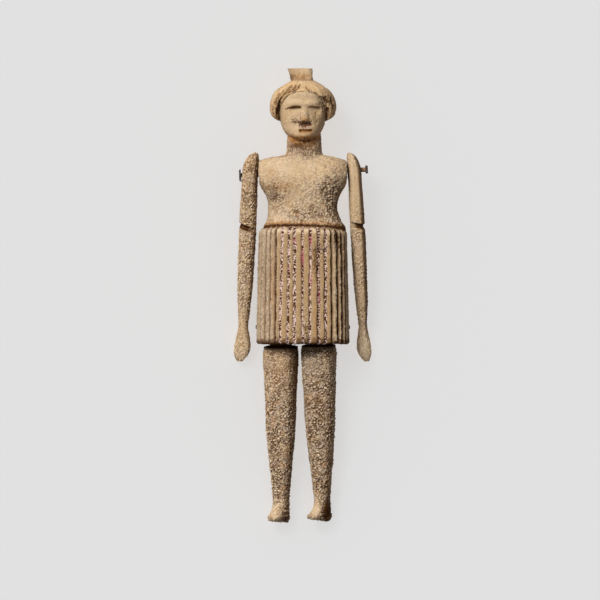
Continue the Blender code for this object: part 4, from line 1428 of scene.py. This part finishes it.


# The limbs' rough, ochre, pale and dirty patches, as the torso's are, with painted light and shade among
# them
RIGHT_ARM_ROUGH = ((-18.0, 5.0, 3.0, 4.5, -0.4), (-18.8, -2.0, 4.0, 4.0, -0.25))
RIGHT_ARM_OCHRE = ((-15.5, 54.0, 3.0, 4.0, 0.35),)
LEFT_ARM_ROUGH = ((17.0, 47.0, 4.0, 9.0, -0.5), (19.5, -1.5, 4.0, 5.0, -0.25))
LEFT_ARM_OCHRE = ((18.5, 37.0, 2.0, 2.0, 0.2),)
# paler bone on the right hand and left elbow; painted light on the left hand, in the skirt's cast shadow
ARM_PALE = ((19.5, -1.5, 3.0, 5.0, 1.20), (-18.8, -2.0, 3.0, 3.5, 0.3), (17.5, 35.2, 3.0, 0.6, 0.5))
LEG_ROUGH = (
    (-9.3, -50.6, 3.4, 2.5, -0.60),
    (6.9, -50.4, 1.3, 3.2, 0.40),
    (3.6, -49.5, 2.2, 3.4, -0.85),
    (-7.5, -7.0, 5.0, 8.0, -0.30),
    (5.5, -7.0, 5.0, 4.0, -0.25),
)
LEG_PALE = ((-9.0, -49.5, 3.0, 2.5, 0.35), (8.4, -10.0, 1.0, 10.0, 0.3), (4.5, -50.0, 2.0, 3.0, 0.4))
# dirt on the feet, with painted shade at the right sole's lower edge and down the left leg's +X side
LEG_DIRT = ((7.2, -50.2, 1.5, 3.6, 0.9), (-5.0, -52.6, 2.2, 0.9, 0.5), (7.6, -35.0, 0.8, 9.0, 0.25))
RIGHT_LEG_OCHRE = ((-1.4, -12.0, 0.9, 12.0, 1.0), (-6.5, -6.0, 4.0, 8.0, 0.3), (-5.0, -32.0, 2.5, 3.0, 0.15))
LEFT_LEG_OCHRE = ((4.8, -18.0, 3.0, 4.0, 0.3), (3.2, -48.5, 1.5, 1.5, 0.2), (2.0, -27.0, 2.0, 3.0, 0.15))


def wear_limb(made, seed, base, drab, edge, tables):
    """Wears a limb, from how rough and drab it is, how strong the painted shade on its +X side is, and its
    patches.
    """
    places, normals, marks = read_points(made)
    rough, ochre, pale, dirt = (patches(places[:, 0], places[:, 1], table) for table in tables)
    rough = np.clip(base + rough, 0, 1) * (1 - 0.7 * marks["dirt"])
    # painted shade: faces turned towards +X, away from the key light, are darkened and made ochre
    sheltered = eased(normals[:, 0], 0.1, 0.85)
    # painted shade on faces turned down towards the table
    underneath = eased(-normals[:, 2], 0, 0.6)
    # the pale patches, some of them painted light, lessen the stain and the drab
    paled = np.clip(pale, 0, 1)
    wear_bone(
        made,
        seed,
        rough,
        pale=pale,
        stain=edge * sheltered * (1 - 0.8 * paled) + 0.1 * underneath + (marks["dirt"] + dirt),
        ochre=ochre + 0.15 * sheltered,
        worn=0.12 * (1 - rough),
        drab=drab * (0.3 + 0.7 * rough) * (1 - 0.6 * marks["dirt"]) * (1 - paled),
    )


# Materials


class Wire:
    """A shader socket. Arithmetic on wires adds Math nodes to their tree."""

    def __init__(self, tree, socket=None):
        self.tree, self.socket = tree, socket

    def add(self, kind, settings=None, inputs=None, output=0):
        """One output of a new node. Its settings are set first, then its sockets get values or wires."""
        node = self.tree.nodes.new(kind)
        for name, value in (settings or {}).items():
            setattr(node, name, value)
        for key, value in (inputs or {}).items():
            if isinstance(value, Wire):
                self.tree.links.new(value.socket, node.inputs[key])
            else:
                node.inputs[key].default_value = value
        return Wire(self.tree, node.outputs[output])

    def math(self, operation, *others):
        return self.add("ShaderNodeMath", {"operation": operation}, dict(enumerate((self, *others))))

    def __add__(self, other):
        return self.math("ADD", other)

    def __sub__(self, other):
        return self.math("SUBTRACT", other)

    def __rsub__(self, other):
        return self.add("ShaderNodeMath", {"operation": "SUBTRACT"}, {0: other, 1: self})

    def __mul__(self, other):
        return self.math("MULTIPLY", other)

    def __pow__(self, other):
        return self.math("POWER", other)

    __radd__ = __add__
    __rmul__ = __mul__

    def eased(self, low, high):
        """Rises smoothly from 0 at low to 1 at high."""
        inputs = {"Value": self, "From Min": low, "From Max": high}
        return self.add("ShaderNodeMapRange", {"interpolation_type": "SMOOTHSTEP"}, inputs)

    def mask(self, name):
        """A value that the mesh stores for each of its points."""
        return self.add("ShaderNodeAttribute", {"attribute_name": name}, output=2)

    def noise(self, place, size, detail=2.0, roughness=0.55):
        """Noise from 0 to 1 with features of this size, in millimetres, at a place in millimetres."""
        inputs = {"Vector": place, "Scale": 1 / size, "Detail": detail, "Roughness": roughness}
        return self.add("ShaderNodeTexNoise", {"noise_dimensions": "3D"}, inputs)

    def blend(self, factor, first, second):
        """The first colour, turning into the second as the factor goes from 0 to 1."""
        inputs = {0: factor}
        for key, tint in ((6, first), (7, second)):
            inputs[key] = tint if isinstance(tint, Wire) else (*tint, 1)
        return self.add("ShaderNodeMix", {"data_type": "RGBA"}, inputs, output=2)


def material(finish):
    """The material that a finish wires up, made when it is first asked for.

    The finish gets the material's shader and a wire with the place on the piece in millimetres.
    """
    name = finish.__name__
    if name in bpy.data.materials:
        return bpy.data.materials[name]
    made = bpy.data.materials.new(name)
    made.use_nodes = True
    start = Wire(made.node_tree).add("ShaderNodeTexCoord", output="Object")
    place = start.add("ShaderNodeVectorMath", {"operation": "SCALE"}, {0: start, "Scale": 1 / MM})
    finish(made.node_tree.nodes["Principled BSDF"], place)
    return made


def connect(shader, tint, roughness, height, distance, push):
    """Feeds the shader its colour, its roughness and relief of this height and push."""
    inputs = {"Height": height, "Distance": distance, "Strength": push}
    relief = height.add("ShaderNodeBump", None, inputs)
    for name, wire in (("Base Color", tint), ("Roughness", roughness), ("Normal", relief)):
        tint.tree.links.new(wire.socket, shader.inputs[name])


def aged_bone(shader, place):
    bone = sizes().bone
    pit, rim, rough = place.mask("pit"), place.mask("rim"), place.mask("rough")
    paint, groove = place.mask("paint"), place.mask("groove")
    broad = place.noise(place, 7.0, 3.0)
    mottle = place.noise(place, 1.1, 3.0, 0.65)
    speck = place.noise(place, 0.5, 2.0, 0.6)
    warm = place.noise(place, 2.6, 2.0)
    cool = place.noise(place, 1.7, 2.0)
    filled = place.noise(place, 0.52, 1.0).eased(0.49, 0.53)
    flakes = place.blend(mottle.eased(0.45, 0.65), bone.blush, bone.lilac)

    tint = place.blend(broad.eased(0.3, 0.75) * 0.5, bone.honey, bone.cream)
    for share, over in (
        (place.mask("drab") * (0.4 + 0.6 * mottle.eased(0.3, 0.7)), bone.drab),
        (place.mask("hair") * 0.7, bone.amber),
        (place.mask("worn") * (0.7 + 0.3 * mottle), bone.gold),
        (cool.eased(0.48, 0.6) * 0.5 * rough, bone.mauve),
        (warm.eased(0.52, 0.68) * 0.5 * rough, bone.clay),
        (place.mask("ochre") * mottle.eased(0.2, 0.5), bone.ochre),
        # the rim mask carries painted light from the pale mask as well as raised grain
        (rim * 0.6 + speck.eased(0.55, 0.62) * 0.6 * rough, bone.cream),
        (speck.eased(0.46, 0.4) * (0.03 + 0.42 * rough**1.5), bone.umber),
        # the stain mask holds stains and dirt, and also painted shade where shade falls
        (place.mask("stain") * (0.75 + 0.5 * mottle), bone.umber),
        (pit * 0.85, bone.pit),
        (groove * (1 - filled * paint), bone.umber),
        (paint * filled * 0.9, flakes),
        (place.mask("fresh") * groove * 0.85, bone.magenta),
    ):
        tint = place.blend(share, tint, over)
    shader.inputs["Specular IOR Level"].default_value = 0.05
    roughness = 0.62 + 0.25 * pit - 0.12 * place.mask("worn") + 0.1 * speck
    height = (speck * 0.6 + place.noise(place, 0.2, 2.0) * 0.4) * (0.25 + 0.75 * rough)
    connect(shader, tint, roughness, height, 0.3 * MM, 0.9)


def corroded_bronze(shader, place):
    bronze = sizes().bronze
    patch = place.noise(place, 0.9, 3.0, 0.6)
    speck = place.noise(place, 0.25, 2.0)
    bare = place.mask("bare")
    tint = place.blend(patch.eased(0.52, 0.66), bronze.dark, bronze.crust)
    tint = place.blend(bare * (0.5 + 0.5 * speck), tint, bronze.metal)
    shader.inputs["Specular IOR Level"].default_value = 0.4
    place.tree.links.new((bare * 0.8).socket, shader.inputs["Metallic"])
    connect(shader, tint, 0.8 - 0.3 * bare + 0.1 * speck, patch * 0.6 + speck * 0.4, 0.15 * MM, 0.6)


def matt_floor(shader, place):
    grain = place.noise(place, 1.5, 2.0)
    tone = sizes().studio.floor
    tint = place.blend(grain * 0.5, tone, [0.985 * part for part in tone])
    connect(shader, tint, 0.85 + 0.1 * grain, grain, 0.05 * MM, 0.1)


def soft_lamp(name, energy, softness, turn, lit=None, shading=None):
    """A distant soft light. It may light one collection alone and be shaded by one collection alone."""
    data = bpy.data.lights.new(name, "SUN")
    data.energy, data.angle = energy, softness
    made = bpy.data.objects.new(name, data)
    made.rotation_euler = turn
    made.light_linking.receiver_collection = lit
    made.light_linking.blocker_collection = shading
    return made


# Operators


class FIGURINE_OT_carve_torso(bpy.types.Operator):
    """Carve the torso with its head and skirt from one piece of bone"""

    bl_idname = "figurine.carve_torso"
    bl_label = "Carve Torso"

    def execute(self, context):
        made = skirt_surface()
        combine(made, [chest_surface(), face_surface(), hair_surface(), topknot_surface()], "UNION")
        combine(made, [hollow_surface(), shoulder_bore(), hip_bore()], "DIFFERENCE")
        wear_torso(made)
        finish_piece(made, "torso_with_head_and_skirt", aged_bone)
        return {"FINISHED"}


class FIGURINE_OT_carve_arms(bpy.types.Operator):
    """Carve both arms and hang them on the shoulder pin"""

    bl_idname = "figurine.carve_arms"
    bl_label = "Carve Arms"

    def execute(self, context):
        right, left = both_arms()
        # edge: how strong the painted shade is on an arm's +X side, turned from the key light
        for side, (rings, dirt, _), seed, base, edge, rough, ochre in (
            ("right_arm", right, RIGHT_ARM_SEED, 0.75, 0.0, RIGHT_ARM_ROUGH, RIGHT_ARM_OCHRE),
            ("left_arm", left, LEFT_ARM_SEED, 0.5, 0.8, LEFT_ARM_ROUGH, LEFT_ARM_OCHRE),
        ):
            made = combine(surface(f"{side}_bone", rings, dirt=dirt), [shoulder_bore()], "DIFFERENCE")
            wear_limb(made, seed, base, 0.4, edge, (rough, ochre, ARM_PALE, ()))
            finish_piece(made, side, aged_bone)
        return {"FINISHED"}


class FIGURINE_OT_carve_legs(bpy.types.Operator):
    """Carve both legs and hang their tongues on the hip pin"""

    bl_idname = "figurine.carve_legs"
    bl_label = "Carve Legs"

    def execute(self, context):
        leg = sizes().leg
        right = (leg.right_x, leg.right_drop, leg.right_toes, 0.0)
        left = (leg.left_x, leg.left_drop, leg.left_toes, leg.left_lean)
        for side, place, seed, drab, ochre in (
            ("right_leg", right, RIGHT_LEG_SEED, 0.8, RIGHT_LEG_OCHRE),
            ("left_leg", left, LEFT_LEG_SEED, 1.15, LEFT_LEG_OCHRE),
        ):
            rings, dirt = leg_rings(*place)
            made = combine(surface(f"{side}_bone", rings, dirt=dirt), [hip_bore()], "DIFFERENCE")
            # 0.35: how strong the painted shade is on a leg's +X side, turned from the key light
            wear_limb(made, seed, 0.95, drab, 0.35, (LEG_ROUGH, ochre, LEG_PALE, LEG_DIRT))
            finish_piece(made, side, aged_bone)
        return {"FINISHED"}


def shoulder_profile():
    """The shoulder pin from its disc to its knob, as pairs of a place along X and a radius."""
    pin = sizes().pin
    (_, _, disc_face), (_, _, knob_face) = both_arms()
    disc, knob = disc_face - pin.head_gap, knob_face + pin.knob_neck
    shank, disc_rim, knob_rim = pin.diameter / 2, pin.disc_diameter / 2, pin.knob_diameter / 2
    disc_end, knob_end = disc - pin.disc_thickness, knob + pin.knob_thickness
    profile = [(disc_end, radius) for radius in np.linspace(0.1, 0.4, 6) * pin.disc_diameter]
    profile += [(disc - pin.disc_thickness * 0.6, disc_rim), (disc, disc_rim)]
    profile += [(disc, radius) for radius in np.linspace(disc_rim, shank, 5)[1:]]
    profile += [(along, shank) for along in np.linspace(disc, knob, 150)[1:]]
    profile += [(knob, pin.knob_diameter * 0.42), (knob + pin.knob_thickness * 0.1, knob_rim)]
    profile += [(knob + pin.knob_thickness * 0.6, knob_rim)]
    return profile + [(knob_end, radius) for radius in np.linspace(0.42, 0.1, 5) * pin.knob_diameter]


def hip_profile():
    """The hip pin with its softened ends, in the same way."""
    skirt = sizes().skirt
    end = skirt_half_width(skirt.pin_height) + skirt.pin_proud
    radius = skirt.pin_diameter / 2
    profile = [(-end, radius * 0.3), (-end, radius * 0.8), (-end + 0.1 * MM, radius)]
    profile += [(along, radius) for along in np.linspace(-end + 0.3 * MM, end - 0.3 * MM, 120)]
    return profile + [(end - 0.1 * MM, radius), (end, radius * 0.8), (end, radius * 0.3)]


class FIGURINE_OT_turn_pins(bpy.types.Operator):
    """Make the two bronze pins"""

    bl_idname = "figurine.turn_pins"
    bl_label = "Turn Pins"

    def execute(self, context):
        for node, *shape in (
            ("shoulder_pin", shoulder_profile(), shoulder_pin_centre(), sizes().pin.slope, 48),
            ("hip_pin", hip_profile(), hip_pin_centre(), 0.0, 32),
        ):
            made = rod(f"{node}_bronze", *shape)
            places, normals, _ = read_points(made)
            rust = 0.07 * MM * layered_noise(places, 0.8 * MM, PIN_SEED)
            bare = eased(places[:, 0], 17.5 * MM, 18 * MM) * eased(places[:, 0], 19 * MM, 18.6 * MM)
            write_points(made, places + normals * rust[:, None], bare=bare)
            finish_piece(made, node, corroded_bronze)
        return {"FINISHED"}


FLOOR_REACH = 4.0  # half the floor's side
AIM = (-0.81 * MM, -1.2 * MM)  # the point of the table that the camera looks straight down on
AIM_HEIGHT = 10 * MM  # the height at which the view has its stated width


class FIGURINE_OT_set_stage(bpy.types.Operator):
    """Lay the figurine on a pale floor under soft light, with the camera straight above it"""

    bl_idname = "figurine.set_stage"
    bl_label = "Set Stage"

    def execute(self, context):
        studio = sizes().studio
        scene = context.scene
        data = bpy.data.meshes.new("floor")
        corners = [(x * FLOOR_REACH, y * FLOOR_REACH, 0.0) for x, y in ((-1, -1), (1, -1), (1, 1), (-1, 1))]
        data.from_pydata(corners, [], [(0, 1, 2, 3)])
        data.materials.append(material(matt_floor))
        floor = bpy.data.objects.new("floor", data)
        floor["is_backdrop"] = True

        figure, ground = bpy.data.collections.new("figure_only"), bpy.data.collections.new("floor_only")
        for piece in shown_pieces():
            figure.objects.link(piece)
        ground.objects.link(floor)
        lit_by_key = studio.key * (1 - studio.key_on_floor)
        key_turn = (0, FRONT - studio.key_height, studio.key_side)
        lamps = [
            soft_lamp("key_light", studio.key * studio.key_on_floor, studio.key_softness, key_turn),
            soft_lamp("key_light_for_figure", lit_by_key, studio.key_softness, key_turn, figure, figure),
            soft_lamp("floor_light", studio.floor_light, studio.key_softness, (0, 0, 0), ground, ground),
        ]

        eye = bpy.data.cameras.new("camera")
        eye.sensor_width = 36.0
        eye.lens = eye.sensor_width * (studio.camera_height - AIM_HEIGHT) / studio.view_width
        camera = bpy.data.objects.new("camera", eye)
        camera.location = (*AIM, studio.camera_height)
        for made in (floor, camera, *lamps):
            scene.collection.objects.link(made)
        scene.camera = camera

        world = bpy.data.worlds.new("soft_fill")
        world.use_nodes = True
        world.node_tree.nodes["Background"].inputs["Strength"].default_value = studio.fill
        world.node_tree.nodes["Background"].inputs["Color"].default_value = (1, 1, 1, 1)
        scene.world = world
        scene.view_settings.view_transform = "Standard"
        return {"FINISHED"}


class FIGURINE_PT_sidebar(bpy.types.Panel):
    """The figurine's steps and settings"""

    bl_label = "Jointed Bone Figurine"
    bl_idname = "FIGURINE_PT_sidebar"
    bl_space_type = "VIEW_3D"
    bl_region_type = "UI"
    bl_category = "Figurine"

    def draw(self, context):
        for step in STEPS:
            self.layout.operator(step.bl_idname)
        for group in context.scene.figurine.bl_rna.properties:
            if group.type != "POINTER" or group.identifier == "rna_type":
                continue
            box = self.layout.box()
            box.label(text=group.identifier.capitalize())
            settings = getattr(context.scene.figurine, group.identifier)
            for setting in settings.bl_rna.properties:
                if setting.identifier not in ("rna_type", "name"):
                    box.prop(settings, setting.identifier)


GROUPS = (
    SkirtSizes, ChestSizes, HeadSizes, ArmSizes, LegSizes, PinSizes, Wear, BoneColours, BronzeColours,
    Studio, Figurine,
)
STEPS = (
    FIGURINE_OT_carve_torso,
    FIGURINE_OT_carve_arms,
    FIGURINE_OT_carve_legs,
    FIGURINE_OT_turn_pins,
    FIGURINE_OT_set_stage,
)
CLASSES = (*GROUPS, *STEPS, FIGURINE_PT_sidebar)


def register():
    for made in CLASSES:
        bpy.utils.register_class(made)
    bpy.types.Scene.figurine = PointerProperty(type=Figurine)


def unregister():
    del bpy.types.Scene.figurine
    for made in reversed(CLASSES):
        bpy.utils.unregister_class(made)


def main():
    register()
    bpy.ops.figurine.carve_torso()
    bpy.ops.figurine.carve_arms()
    bpy.ops.figurine.carve_legs()
    bpy.ops.figurine.turn_pins()
    bpy.ops.figurine.set_stage()


if __name__ == "__main__":
    main()
